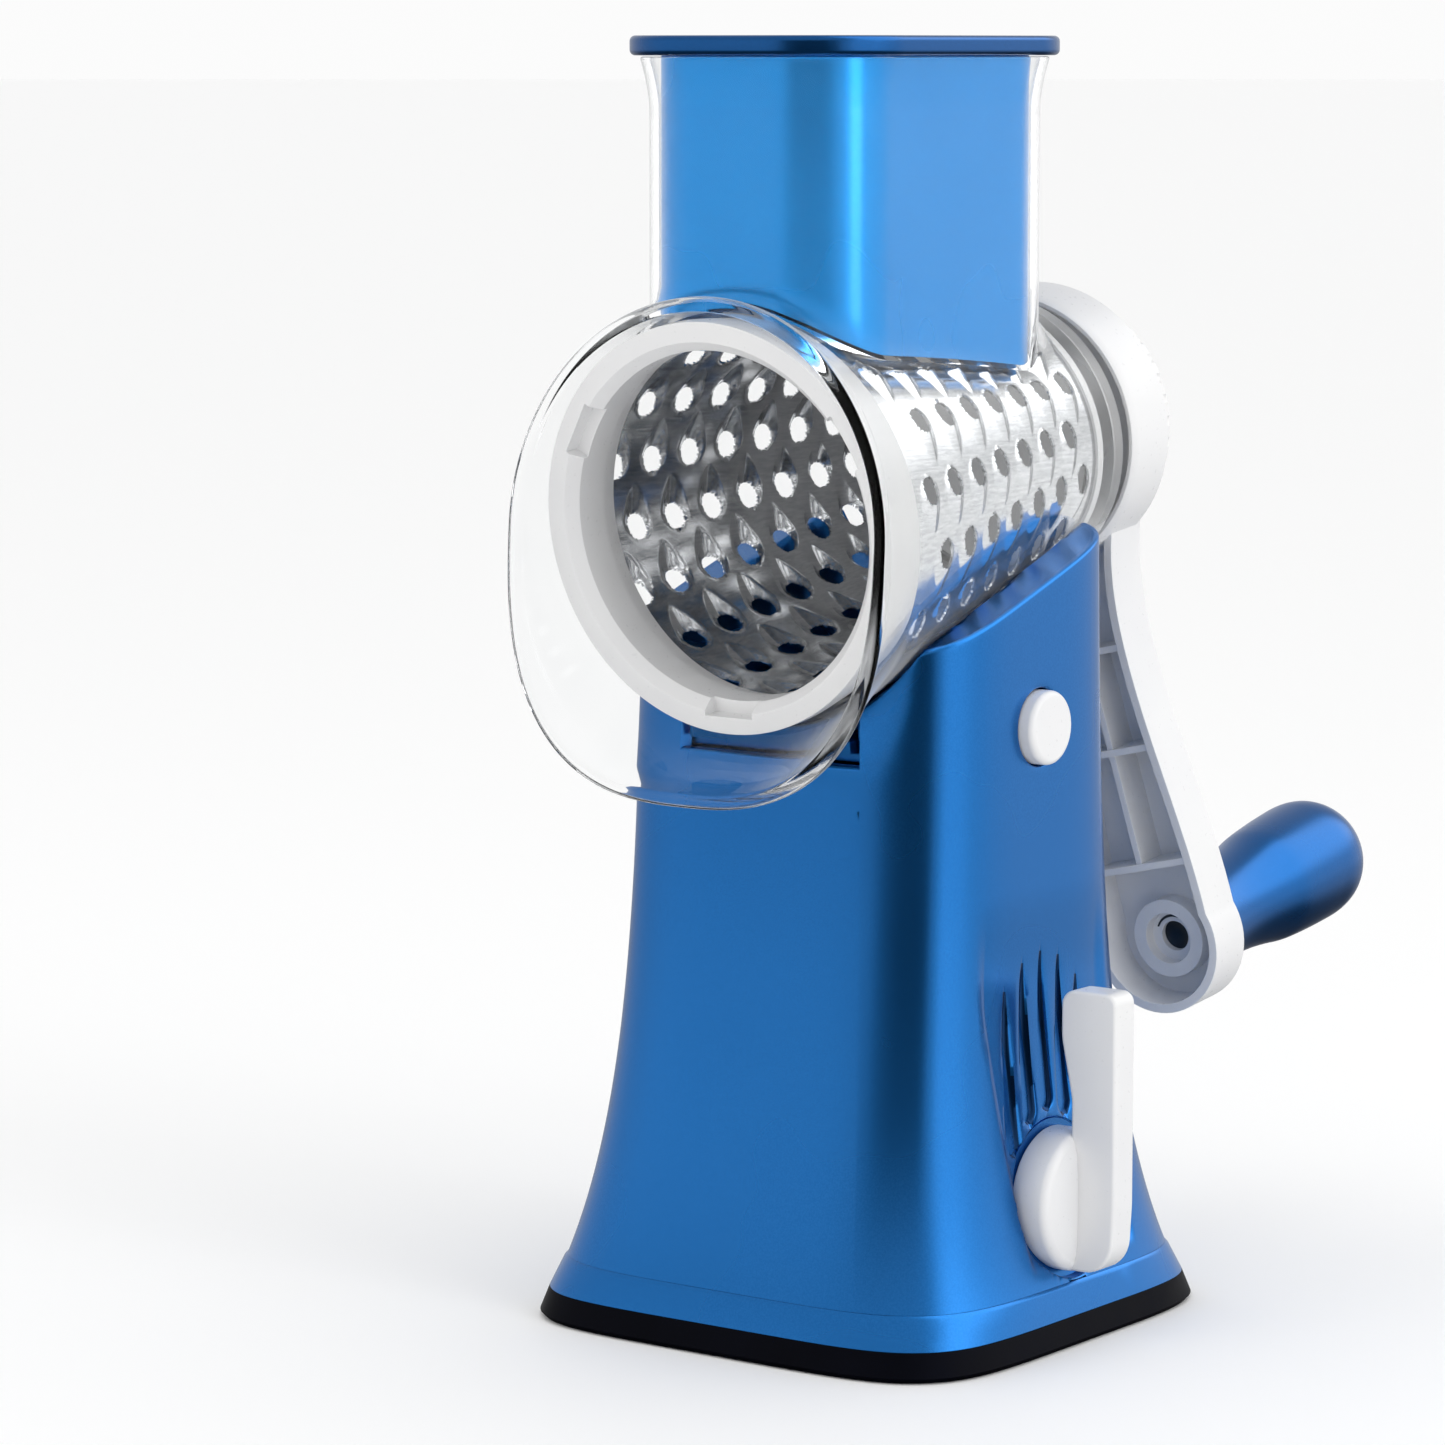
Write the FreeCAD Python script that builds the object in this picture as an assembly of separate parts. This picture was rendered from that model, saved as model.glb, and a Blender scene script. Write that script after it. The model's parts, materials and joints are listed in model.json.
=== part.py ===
import FreeCAD, Part
import os
from math import cos, exp, pi, radians, sin, sqrt

# Rotary cheese grater with a suction base, a clear drum housing and a hand crank.
#
# Row frame: origin at the middle of the resting face, +Z up, -Y towards the mouth,
# +Y towards the crank, +X towards the release button and the suction lever.  Millimetres.
# The drum frame has the same X, its second axis W along the drum (rearward) and its
# third axis V square to it; it is tilted nose-down about X and lifted to AXIS_HEIGHT.

V = FreeCAD.Vector
os.makedirs("parts", exist_ok=True)

# ---------------------------------------------------------------- driving dimensions
TOTAL_HEIGHT = 319.5        # resting face to the top of the pusher lid
AXIS_HEIGHT = 210.0         # drum axis above the resting face, at Y = 0
AXIS_TILT = 7.0             # degrees, mouth end lower

PAD_WIDTH = 134.5           # rubber foot along X
PAD_DEPTH = 136.5           # rubber foot along Y
PAD_HEIGHT = 7.0
PAD_POWER = 5.2             # the foot is a little squarer than the body
PAD_MEMBRANE = 1.6          # rubber sheet over the whole foot
PAD_BAND_WIDTH = 131.0      # foot and band where they meet
PAD_BAND_DEPTH = 132.0
BAND_TOP = 15.0             # parting line between base band and body shell
CORNER_POWER = 4.6          # superellipse power of the square sections

BODY_WIDTH = 101.0          # pillar width that the flare settles to
BODY_DEPTH = 82.0
FLARE_WIDTH = 26.0          # extra width at the parting line
FLARE_DEPTH = 44.0
FLARE_FADE_X = 40.0         # height over which the flare fades
FLARE_FADE_Y = 60.0
BODY_WALL = 2.6
TOP_REAR_HEIGHT = 199.0     # pillar top at Y = 40
TOP_SLOPE = 18.5            # degrees, falling to the front
SADDLE_GAP = 1.0            # between the pillar top and the housing
GROOVE_COUNT = 5            # upright grooves beside the lever
GROOVE_PITCH = 8.0
GROOVE_DEPTH = 1.4

PLATE_LOW = 7.0             # bottom plate between the foot and the shell's posts
PLATE_HIGH = 9.5
SCREW_R = 1.6
SCREW_SPOTS = [(x, y) for x in (-42, 42) for y in (-42, 42)]
POST_R = 5.5
POST_LENGTH = 85.0

DOCK_HALF = 24.4            # half width between the dock's side walls
DOCK_FLOOR = -57.6          # V of the dock's floor
DOCK_WALL = 2.4
DOCK_REAR = 30.0            # W of the dock's rear wall

HOUSING_REAR = 60.0         # W of the housing's rear face
HOUSING_REAR_R = 36.8
HOUSING_FRONT = -54.0       # W where the cone turns into the collar
HOUSING_TAPER = 0.143       # radius gained per millimetre forward
HOUSING_WALL = 2.2
RIM_W = -74.5               # collar rim on the axis
RIM_LEAN = 0.19             # the rim's lower edge reaches further forward
RIM_R = 54.8
RIM_DROP = 62.4             # axis to the rim's lowest edge
RIM_POWER = 2.65
RIM_LIP = 1.2
RIM_LIP_DEPTH = 2.6

CHUTE_WIDTH = 68.0
CHUTE_DEPTH = 100.0
CHUTE_CORNER = 22.0
CHUTE_Y = -10.7
CHUTE_TOP = 314.4
CHUTE_FLARE = 2.2           # growth of each side over the top
FLARE_LENGTH = 12.0
CHUTE_BASE = 222.0

DRUM_REAR = 50.0
DRUM_FRONT = -52.0
DRUM_REAR_R = 33.5
DRUM_FRONT_R = 48.5
SHEET = 0.8
RING_FRONT = -66.0
RING_R = 50.4
RING_INNER_R = 43.0
HUB_R = 15.0
HUB_FLUTES = 8
SOCKET_R = 19.0
FIT = 0.05                  # radial clearance of every running fit

CRANK_FRONT = 70.0
CRANK_BACK = 84.0
CRANK_HEAD_FRONT = 66.0
CRANK_HEAD_R = 36.5
CRANK_REACH = 139.5
CRANK_SWING = 13.0          # degrees the crank stands away from straight down
CRANK_END_R = 18.6
CRANK_WALL = 2.4
CAP_R = 32.5
CAP_DEPTH = 7.0
KNURLS = 36

GRIP_LENGTH = 79.0
GRIP_NECK_R = 13.4
GRIP_BULB_R = 16.6
GRIP_LEAN = 3.0             # degrees the grip rises from the drum axis
GRIP_START = 1.4            # running gap behind the crank
CAP_START = 67.0            # seam between the grip and its end cap
PIN_R = 4.0
PIN_END = 63.0

LEVER_HEIGHT = 35.0
LEVER_HUB_R = 18.6
LEVER_HUB_X = (54.5, 66.0)
LEVER_FIN = 4.5             # half thickness of the finger plate
AXLE_R = 5.0
BUSH_R = 8.0
CAM_R = 9.5
CAM_THROW = 3.0

BUTTON_HEIGHT = 151.5
BUTTON_R = 9.2
BUTTON_OUT = 3.7
BUTTON_TRAVEL = 3.0
STEM_START = DOCK_HALF + DOCK_WALL + BUTTON_TRAVEL + 0.6       # X of the stem's inner end

PUSHER_GAP = 0.6
LID_THICK = 4.2
LID_OVER = 4.0


# ---------------------------------------------------------------- helpers
def export(name, shape):
    """Write one node, joined only from solids."""
    shape.exportStep("parts/%s.step" % name)
    box = shape.BoundBox
    print("%-18s solids %d z %7.2f..%7.2f" % (name, len(shape.Solids), box.ZMin, box.ZMax))


def closed_curve(points):
    """One smooth closed edge through the points, as a wire."""
    curve = Part.BSplineCurve()
    curve.interpolate(Points=points, PeriodicFlag=True)
    return Part.Wire(curve.toShape())


def squircle(width, depth, z, power=CORNER_POWER, count=40):
    """Superellipse of the given width (X) and depth (Y) at height z."""
    points = []
    for i in range(count):
        t = 2 * pi * (i + 0.5) / count
        reach = (abs(cos(t) * 2 / width) ** power + abs(sin(t) * 2 / depth) ** power) ** (-1 / power)
        points.append(V(reach * cos(t), reach * sin(t), z))
    return closed_curve(points)


def rounded_rect(width, depth, corner, z, y=0.0):
    """Rounded rectangle wire centred on X = 0."""
    hx, hy, k = width / 2, depth / 2, corner * (1 - sqrt(0.5))
    edges = []
    for sx, sy in ((1, -1), (1, 1), (-1, 1), (-1, -1)):
        first = V(sx * (hx - corner), y + sy * hy, z)
        last = V(sx * hx, y + sy * (hy - corner), z)
        if sx * sy > 0:
            first, last = last, first
        edges.append(Part.Arc(first, V(sx * (hx - k), y + sy * (hy - k), z), last).toShape())
    sides = []
    for i in range(4):
        sides.append(Part.makeLine(edges[i].Vertexes[-1].Point, edges[(i + 1) % 4].Vertexes[0].Point))
    return Part.Wire([edge for pair in zip(edges, sides) for edge in pair])


def prism(wire, height):
    return Part.Face(wire).extrude(V(0, 0, height))


def lathe(profile):
    """Turn (radius, W) points about the W axis."""
    wire = Part.makePolygon([V(r, w, 0) for r, w in profile + profile[:1]])
    return Part.Face(wire).revolve(V(0, 0, 0), V(0, 1, 0), 360)


def tube(outer, inner, w0, w1):
    return lathe([(inner, w0), (outer, w0), (outer, w1), (inner, w1)])


def rod(radius, start, direction, length):
    return Part.makeCylinder(radius, length, start, direction)


def block(x0, x1, y0, y1, z0, z1):
    return Part.makeBox(x1 - x0, y1 - y0, z1 - z0, V(x0, y0, z0))


def to_row(shape):
    """Move a shape from the drum frame to the row frame."""
    moved = shape.copy()
    moved.rotate(V(0, 0, 0), V(1, 0, 0), AXIS_TILT)
    moved.translate(V(0, 0, AXIS_HEIGHT))
    return moved


def swung(shape):
    """Turn a crank shape about the drum axis to its rest angle."""
    turned = shape.copy()
    turned.rotate(V(0, 0, 0), V(0, 1, 0), -CRANK_SWING)
    return turned


def pick_biggest(shape):
    return max(shape.Solids, key=lambda solid: solid.Volume)


# ---------------------------------------------------------------- pillar and base
def body_size(z):
    """Pillar width and depth at height z: a straight body on a fading flare."""
    rise = z - BAND_TOP + 1.0
    return (BODY_WIDTH + FLARE_WIDTH * exp(-rise / FLARE_FADE_X),
            BODY_DEPTH + FLARE_DEPTH * exp(-rise / FLARE_FADE_Y))


def pillar(inset, z0, z1):
    """Solid pillar between two heights, its sides moved in by inset."""
    levels = [z0 + (z1 - z0) * (i / 7) ** 1.6 for i in range(8)]
    wires = []
    for z in levels:
        width, depth = body_size(z)
        wires.append(squircle(width - 2 * inset, depth - 2 * inset, z))
    return Part.makeLoft(wires, True, False)


def housing_r(w):
    return HOUSING_REAR_R + HOUSING_TAPER * (HOUSING_REAR - w)


def under_slope(drop):
    """Everything below the pillar's sloping top, lowered by drop."""
    size = 300.0
    solid = block(-size, size, -size, size, -size, 0)
    solid.rotate(V(0, 0, 0), V(1, 0, 0), TOP_SLOPE)
    solid.translate(V(0, 40, TOP_REAR_HEIGHT - drop))
    return solid


def saddle(gap):
    """The housing's cone grown by gap, which the pillar top wraps."""
    w0, w1 = -75.0, 75.0
    return to_row(lathe([(0, w0), (housing_r(w0) + gap, w0), (housing_r(w1) + gap, w1), (0, w1)]))


def dock_space(grow):
    """The trough in the pillar top that takes the dock rail."""
    half = DOCK_HALF + DOCK_WALL + grow
    return to_row(block(-half, half, -90, DOCK_REAR + DOCK_WALL + grow, DOCK_FLOOR - DOCK_WALL - grow, -20))


def side_grooves():
    """Tapered upright grooves pressed into the +X side beside the lever."""
    cutters = []
    for i in range(GROOVE_COUNT):
        y = (i - 2) * GROOVE_PITCH
        low = 58.5 - 0.035 * y * y
        high = 97.0 - 0.032 * y * y
        outline = Part.Wire([
            Part.makeLine(V(40, y - 2.0, low), V(40, y, high)),
            Part.makeLine(V(40, y, high), V(40, y + 2.0, low)),
            Part.Arc(V(40, y + 2.0, low), V(40, y, low - 2.4), V(40, y - 2.0, low)).toShape()])
        cutters.append(Part.Face(outline).extrude(V(30, 0, 0)))
    lane = Part.makeCompound(cutters)
    return lane.cut(pillar(GROOVE_DEPTH, BAND_TOP - 2, 130))


def body_shell():
    outer = pillar(0, BAND_TOP, 200)
    outer = outer.common(under_slope(0)).cut(saddle(SADDLE_GAP))
    inner = pillar(BODY_WALL, BAND_TOP - 4, 199)
    inner = inner.common(under_slope(3.0)).cut(saddle(SADDLE_GAP + 3.0))
    shell = outer.cut(inner)
    posts = [rod(POST_R, V(x, y, PLATE_HIGH), V(0, 0, 1), POST_LENGTH) for x, y in SCREW_SPOTS]
    posts = Part.makeCompound(posts).common(pillar(0.5, BAND_TOP - 6, 120))
    boss = rod(LEVER_HUB_R + 3.2, V(47, 0, LEVER_HEIGHT), V(1, 0, 0), 30).common(pillar(0.3, BAND_TOP, 120))
    guide = rod(7.5, V(30, 0, BUTTON_HEIGHT), V(1, 0, 0), 19.5)
    shell = shell.fuse([posts, boss, guide])
    shell = shell.cut(dock_space(0.0))
    shell = shell.cut(rod(LEVER_HUB_R + 0.6, V(LEVER_HUB_X[0] - 0.4, 0, LEVER_HEIGHT), V(1, 0, 0), 30))
    shell = shell.cut(rod(BUSH_R, V(40, 0, LEVER_HEIGHT), V(1, 0, 0), 30))
    shell = shell.cut(rod(BUTTON_R + 0.4, V(45.5, 0, BUTTON_HEIGHT), V(1, 0, 0), 30))
    shell = shell.cut(rod(6.0, V(33, 0, BUTTON_HEIGHT), V(1, 0, 0), 30))
    shell = shell.cut(rod(3.6, V(20, 0, BUTTON_HEIGHT), V(1, 0, 0), 30))
    shell = shell.cut([rod(SCREW_R, V(x, y, 0), V(0, 0, 1), 30) for x, y in SCREW_SPOTS])
    shell = shell.cut(side_grooves())
    return pick_biggest(shell)


def base_band():
    width, depth = body_size(BAND_TOP)
    outer = Part.makeLoft([squircle(PAD_BAND_WIDTH, PAD_BAND_DEPTH, PAD_HEIGHT, PAD_POWER),
                           squircle(width + 1.6, depth + 1.6, BAND_TOP - 1.0),
                           squircle(width, depth, BAND_TOP)], True, True)
    return outer.cut(prism(squircle(118, 118, 0), 40))


def suction_pad():
    skirt = Part.makeLoft([squircle(PAD_WIDTH - 2, PAD_DEPTH - 2, 0, PAD_POWER),
                           squircle(PAD_WIDTH, PAD_DEPTH, 1.2, PAD_POWER),
                           squircle(PAD_BAND_WIDTH, PAD_BAND_DEPTH, PAD_HEIGHT, PAD_POWER)], True, True)
    return skirt.cut(prism(squircle(108, 108, PAD_MEMBRANE), 40))


def bottom_plate():
    plate = prism(squircle(117, 117, PLATE_LOW), PLATE_HIGH - PLATE_LOW)
    plate = plate.fuse(rod(9, V(0, 0, PLATE_LOW), V(0, 0, 1), 9))
    plate = plate.cut(rod(5.4, V(0, 0, 0), V(0, 0, 1), 40))
    return plate.cut([rod(SCREW_R, V(x, y, 0), V(0, 0, 1), 40) for x, y in SCREW_SPOTS])


def pan_screw(x, y, z, length):
    """Screw pointing up, its head's upper face at z."""
    head = Part.makeCylinder(3.0, 2.0, V(x, y, z - 2.0))
    return head.fuse(rod(SCREW_R, V(x, y, z), V(0, 0, 1), length))


def base_screws():
    return Part.makeCompound([pan_screw(x, y, PLATE_LOW, 16) for x, y in SCREW_SPOTS])


def dock_rail():
    half = DOCK_HALF + DOCK_WALL
    rail = block(-half, half, -47, DOCK_REAR + DOCK_WALL, DOCK_FLOOR - DOCK_WALL, -48)
    rail = rail.cut(block(-DOCK_HALF, DOCK_HALF, -90, DOCK_REAR, DOCK_FLOOR, 0))
    for side in (-1, 1):
        x0, x1 = sorted((side * (DOCK_HALF - 2.0), side * (DOCK_HALF + 0.2)))
        rail = rail.fuse(block(x0, x1, -44, DOCK_REAR + 1, -53.6, -52.2))
    rail = rail.cut(block(-18, -8, -13, -3, -80, -40))
    rail = to_row(rail).cut(saddle(0.8))
    return pick_biggest(rail.common(pillar(0.4, 100, 200)))


# ---------------------------------------------------------------- button and latch
def release_button():
    face = body_size(BUTTON_HEIGHT)[0] / 2
    start = V(0, 0, BUTTON_HEIGHT)
    dome = rod(BUTTON_R, start + V(face - 2.0, 0, 0), V(1, 0, 0), BUTTON_OUT + 2.0)
    dome = dome.makeFillet(1.6, [edge for edge in dome.Edges if edge.BoundBox.XMin > face + 1])
    stem = rod(3.3, start + V(STEM_START, 0, 0), V(1, 0, 0), face - 2.0 - STEM_START)
    return dome.fuse(stem)


def latch_slide():
    drop = BUTTON_HEIGHT - 12.0
    bar = block(-18, STEM_START + 1, -9.5, -4.5, drop, drop + 3.0)
    riser = block(STEM_START, STEM_START + 2.6, -9.5, 4.0, drop, BUTTON_HEIGHT + 4.0)
    tooth = block(-17, -12, -9.5, -4.5, drop, drop + 8.0)
    latch = bar.fuse([riser, tooth]).cut(rod(3.35, V(20, 0, BUTTON_HEIGHT), V(1, 0, 0), 20))
    return latch.cut(dock_floor_clear())


def dock_floor_clear():
    """Keeps the latch just under the sliding bracket."""
    return to_row(block(-60, 60, -60, 60, DOCK_FLOOR - 0.3, 0))


def button_spring():
    pitch, coils, radius, wire = 2.4, 6, 4.7, 0.45
    helix = Part.makeHelix(pitch, pitch * coils, radius)
    profile = Part.Wire(Part.makeCircle(wire, V(radius, 0, 0), V(0, 1, 0)))
    spring = Part.Wire(helix).makePipeShell([profile], True, True)
    spring.rotate(V(0, 0, 0), V(0, 1, 0), 90)
    spring.translate(V(33.6, 0, BUTTON_HEIGHT))
    return spring


# ---------------------------------------------------------------- suction lever
def suction_lever():
    """Round hub on the axle with an upright finger plate standing on its face."""
    x0, x1 = LEVER_HUB_X
    hub = rod(LEVER_HUB_R, V(x0, 0, LEVER_HEIGHT), V(1, 0, 0), x1 - x0)
    hub = hub.makeFillet(2.5, [edge for edge in hub.Edges if edge.BoundBox.XMin > x1 - 0.1])
    root, low, top, tip = x1 - 3.0, LEVER_HEIGHT - LEVER_HUB_R + 1.0, 88.0, 76.2
    spots = [(root, low), (x1 + 2.0, low), (tip - 1.2, low + 6.0), (tip, low + 16.0), (tip, top - 3.0),
             (tip - 3.0, top), (64.0, top), (60.2, top - 5.0), (60.6, top - 9.0),
             (root, LEVER_HEIGHT + LEVER_HUB_R)]
    fin = Part.Face(Part.makePolygon([V(x, -LEVER_FIN, z) for x, z in spots + spots[:1]]))
    fin = fin.extrude(V(0, 2 * LEVER_FIN, 0))
    lever = hub.fuse(fin)
    return lever.cut(rod(AXLE_R, V(x0 - 1, 0, LEVER_HEIGHT), V(1, 0, 0), 7))


def lever_axle():
    return rod(AXLE_R, V(-12, 0, LEVER_HEIGHT), V(1, 0, 0), LEVER_HUB_X[0] + 6 + 12)


def lever_bush():
    sleeve = rod(BUSH_R, V(45, 0, LEVER_HEIGHT), V(1, 0, 0), 8.8)
    flange = rod(BUSH_R + 2.5, V(44, 0, LEVER_HEIGHT), V(1, 0, 0), 2.9)
    return sleeve.fuse(flange).cut(rod(AXLE_R + FIT, V(30, 0, LEVER_HEIGHT), V(1, 0, 0), 40))


def lever_cam():
    """Eccentric disc; its high side faces the rear and comes up as the lever turns."""
    cam = rod(CAM_R, V(-4, -CAM_THROW, LEVER_HEIGHT), V(1, 0, 0), 8)
    return cam.cut(rod(AXLE_R, V(-20, 0, LEVER_HEIGHT), V(1, 0, 0), 60))


def cam_clips():
    """Retaining rings that hold the cam on the axle."""
    rings = []
    for x in (-6.0, 4.4):
        ring = rod(AXLE_R + 2.0, V(x, 0, LEVER_HEIGHT), V(1, 0, 0), 1.4)
        rings.append(ring.cut(rod(AXLE_R, V(-20, 0, LEVER_HEIGHT), V(1, 0, 0), 60)))
    return Part.makeCompound(rings)


def suction_plunger():
    """Disc on the rubber sheet, with a stem and a yoke round the cam."""
    disc = rod(28, V(0, 0, PAD_MEMBRANE), V(0, 0, 1), 2.2)
    stem = rod(5, V(0, 0, PAD_MEMBRANE), V(0, 0, 1), 22)
    gap = 0.8
    half = CAM_R + CAM_THROW + gap
    tall = CAM_R + gap
    yoke = block(-3, 3, -half - 3, half + 3, LEVER_HEIGHT - tall - 4, LEVER_HEIGHT + tall + CAM_THROW + 3)
    window = block(-5, 5, -half, half, LEVER_HEIGHT - tall, LEVER_HEIGHT + tall)
    return disc.fuse([stem, yoke]).cut(window)


# ---------------------------------------------------------------- housing
def mouth_wire(w, lean, radius, drop, power, count=48):
    """Section of the housing: a half circle above, a deeper and squarer half below."""
    points = []
    for i in range(count):
        t = 2 * pi * (i + 0.5) / count
        if sin(t) >= 0:
            reach = radius
        else:
            reach = (abs(cos(t) / radius) ** power + abs(sin(t) / drop) ** power) ** (-1 / power)
        x, v = reach * cos(t), reach * sin(t)
        points.append(V(x, w + lean * v, v))
    return closed_curve(points)


def housing_skin(inset, rear, forward):
    """Solid cone and collar, its sides moved in by inset and its rim moved forward."""
    front = housing_r(HOUSING_FRONT) - inset
    back = housing_r(rear) - inset
    round_rim, drop = RIM_R - inset, RIM_DROP - inset
    return Part.makeLoft([mouth_wire(rear, 0, back, back, 2.0),
                          mouth_wire(HOUSING_FRONT, 0, front, front, 2.0),
                          mouth_wire(RIM_W, RIM_LEAN, round_rim, drop, RIM_POWER),
                          mouth_wire(RIM_W - forward, RIM_LEAN, round_rim, drop, RIM_POWER)], True, True)


def chute_wire(grow, z):
    return rounded_rect(CHUTE_WIDTH + 2 * grow, CHUTE_DEPTH + 2 * grow, CHUTE_CORNER + grow, z, CHUTE_Y)


def chute_space(inset, z0, z1):
    return prism(chute_wire(-inset, z0), z1 - z0)


def chute_flare(inset):
    return Part.makeLoft([chute_wire(-inset, CHUTE_TOP - FLARE_LENGTH),
                          chute_wire(CHUTE_FLARE - inset, CHUTE_TOP)], True, True)


def rim_lip():
    """Thickened edge round the collar's rim."""
    return Part.makeLoft([
        mouth_wire(RIM_W + RIM_LIP_DEPTH, RIM_LEAN, RIM_R + RIM_LIP, RIM_DROP + RIM_LIP, RIM_POWER),
        mouth_wire(RIM_W - 1.0, RIM_LEAN, RIM_R + RIM_LIP, RIM_DROP + RIM_LIP, RIM_POWER)], True, True)


def housing():
    """Clear cone and collar, open above for the chute and behind for the bearing."""
    outer = to_row(housing_skin(0, HOUSING_REAR, 1.0).fuse(rim_lip()))
    inner = to_row(housing_skin(HOUSING_WALL, HOUSING_REAR - 4.0, 12.0))
    shell = outer.cut(inner).cut(chute_space(HOUSING_WALL, CHUTE_BASE - 6, CHUTE_TOP + 5))
    return pick_biggest(shell.cut(to_row(rod(24, V(0, 0, 0), V(0, 1, 0), 80))))


def feed_chute():
    """Clear chute standing on the cone, flared at its top."""
    outer = chute_space(0, CHUTE_BASE, CHUTE_TOP - 6.0).fuse(chute_flare(0))
    outer = outer.cut(chute_space(HOUSING_WALL, CHUTE_BASE - 6, CHUTE_TOP + 5)).cut(chute_flare(HOUSING_WALL))
    outer = outer.cut(to_row(housing_skin(0, HOUSING_REAR, 1.0)))
    return pick_biggest(outer.cut(to_row(rim_lip())))


def rear_bearing():
    """Sleeve in the housing's rear wall in which the crank's socket turns."""
    inner = SOCKET_R + FIT
    return to_row(lathe([(inner, 54.2), (27, 54.2), (27, 56.0), (24, 56.0),
                         (24, 60.0), (27, 60.0), (27, 62.0), (inner, 62.0)]))


def mounting_bracket():
    """Runner under the housing that slides into the dock."""
    half = DOCK_HALF - 0.4
    runner = block(-half, half, -50, DOCK_REAR - 0.4, DOCK_FLOOR + 0.4, -30)
    for side in (-1, 1):
        x0, x1 = sorted((side * (DOCK_HALF - 2.5), side * 40))
        runner = runner.cut(block(x0, x1, -80, 60, -54.1, -51.7))
    runner = to_row(runner).cut(saddle(0))
    holes = [rod(SCREW_R, V(0, w, DOCK_FLOOR - 2), V(0, 0, 1), 30) for w in (-20, 14)]
    sinks = [rod(3.4, V(0, w, DOCK_FLOOR - 2), V(0, 0, 1), 5.4) for w in (-20, 14)]
    return runner.cut([to_row(hole) for hole in holes + sinks])


def bracket_screws():
    screws = []
    for w in (-20, 14):
        head = rod(3.0, V(0, w, DOCK_FLOOR + 1.4), V(0, 0, 1), 2.0)
        reach = -housing_r(w) - (DOCK_FLOOR + 3.4) - 0.4
        screws.append(to_row(head.fuse(rod(SCREW_R, V(0, w, DOCK_FLOOR + 3.4), V(0, 0, 1), reach))))
    return Part.makeCompound(screws)


# ---------------------------------------------------------------- drum
def drum_r(w):
    return DRUM_REAR_R + (DRUM_FRONT_R - DRUM_REAR_R) * (DRUM_REAR - w) / (DRUM_REAR - DRUM_FRONT)


def drum_cone():
    """Rolled steel cone."""
    r0, r1 = drum_r(DRUM_FRONT), drum_r(DRUM_REAR)
    return to_row(lathe([(r0 - SHEET, DRUM_FRONT), (r0, DRUM_FRONT),
                         (r1, DRUM_REAR), (r1 - SHEET, DRUM_REAR)]))


def drum_front_ring():
    """White ring round the drum's open end, stepped where it takes the steel."""
    seat = DRUM_FRONT
    inside = drum_r(seat) - SHEET
    ring = lathe([(RING_INNER_R, RING_FRONT + 3), (RING_INNER_R + 2.5, RING_FRONT), (RING_R, RING_FRONT),
                  (RING_R, RING_FRONT + 5), (RING_R - 1.2, seat), (inside, seat),
                  (drum_r(seat + 5) - SHEET - 0.05, seat + 5),
                  (inside - 3.0, seat + 5), (RING_INNER_R, seat - 2)])
    notches = []
    for k in range(3):
        notch = block(-7, 7, RING_FRONT - 2, RING_FRONT + 4.5, RING_INNER_R - 3, RING_INNER_R + 3.2)
        notch.rotate(V(0, 0, 0), V(0, 1, 0), 60 + 120 * k)
        notches.append(notch)
    return to_row(ring.cut(notches))


def drum_rear_plate():
    """White plate that closes the drum's small end, with three curved slots."""
    inside = drum_r(DRUM_REAR) - SHEET
    plate = lathe([(0, 48), (inside - 0.9, 48), (inside - 0.9, DRUM_REAR), (DRUM_REAR_R + 0.8, DRUM_REAR),
                   (DRUM_REAR_R + 0.8, 52.4), (0, 52.4)])
    slots = []
    for k in range(3):
        slot = tube(27.5, 22.5, 50.6, 60)
        sector = Part.makeCylinder(40, 20, V(0, 45, 0), V(0, 1, 0), 70)
        slot = slot.common(sector)
        slot.rotate(V(0, 0, 0), V(0, 1, 0), 120 * k)
        slots.append(slot)
    return to_row(plate.cut(slots))


def fluted(radius, depth, w0, w1):
    """Fluted bar along W: round lands with shallow scallops between them."""
    bar = rod(radius, V(0, w0, 0), V(0, 1, 0), w1 - w0)
    for k in range(HUB_FLUTES):
        angle = 2 * pi * k / HUB_FLUTES
        reach = radius + 2.6 - depth
        bar = bar.cut(rod(2.6, V(reach * cos(angle), w0 - 1, reach * sin(angle)), V(0, 1, 0), w1 - w0 + 2))
    return bar


def drum_coupling():
    hub = fluted(HUB_R, 1.6, 52.4, 78.0)
    return to_row(swung(hub.cut(rod(9.5, V(0, 56, 0), V(0, 1, 0), 40))))


# ---------------------------------------------------------------- crank
def arm_outline(inset):
    """Arm from the head to the grip end: waisted sides and a round end, at the arm's front face."""
    neck, waist, end = 19.2 - inset, 13.6 - inset, CRANK_END_R - inset
    join = sqrt((CRANK_HEAD_R - 1.0) ** 2 - 19.2 ** 2)
    right, left = [], []
    for s, half in ((join, neck), (46.0, waist + 1.2), (64.0, waist), (92.0, waist + 1.6),
                    (CRANK_REACH - 6, end - 0.8)):
        right.append(V(half, CRANK_FRONT, -s))
        left.append(V(-half, CRANK_FRONT, -s))
    flank = Part.BSplineCurve()
    flank.interpolate(right)
    flank_left = Part.BSplineCurve()
    flank_left.interpolate(left[::-1])
    tip = Part.Arc(right[-1], V(0, CRANK_FRONT, -CRANK_REACH - end), left[-1]).toShape()
    return Part.Wire([flank.toShape(), tip, flank_left.toShape(), Part.makeLine(left[0], right[0])])


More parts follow.
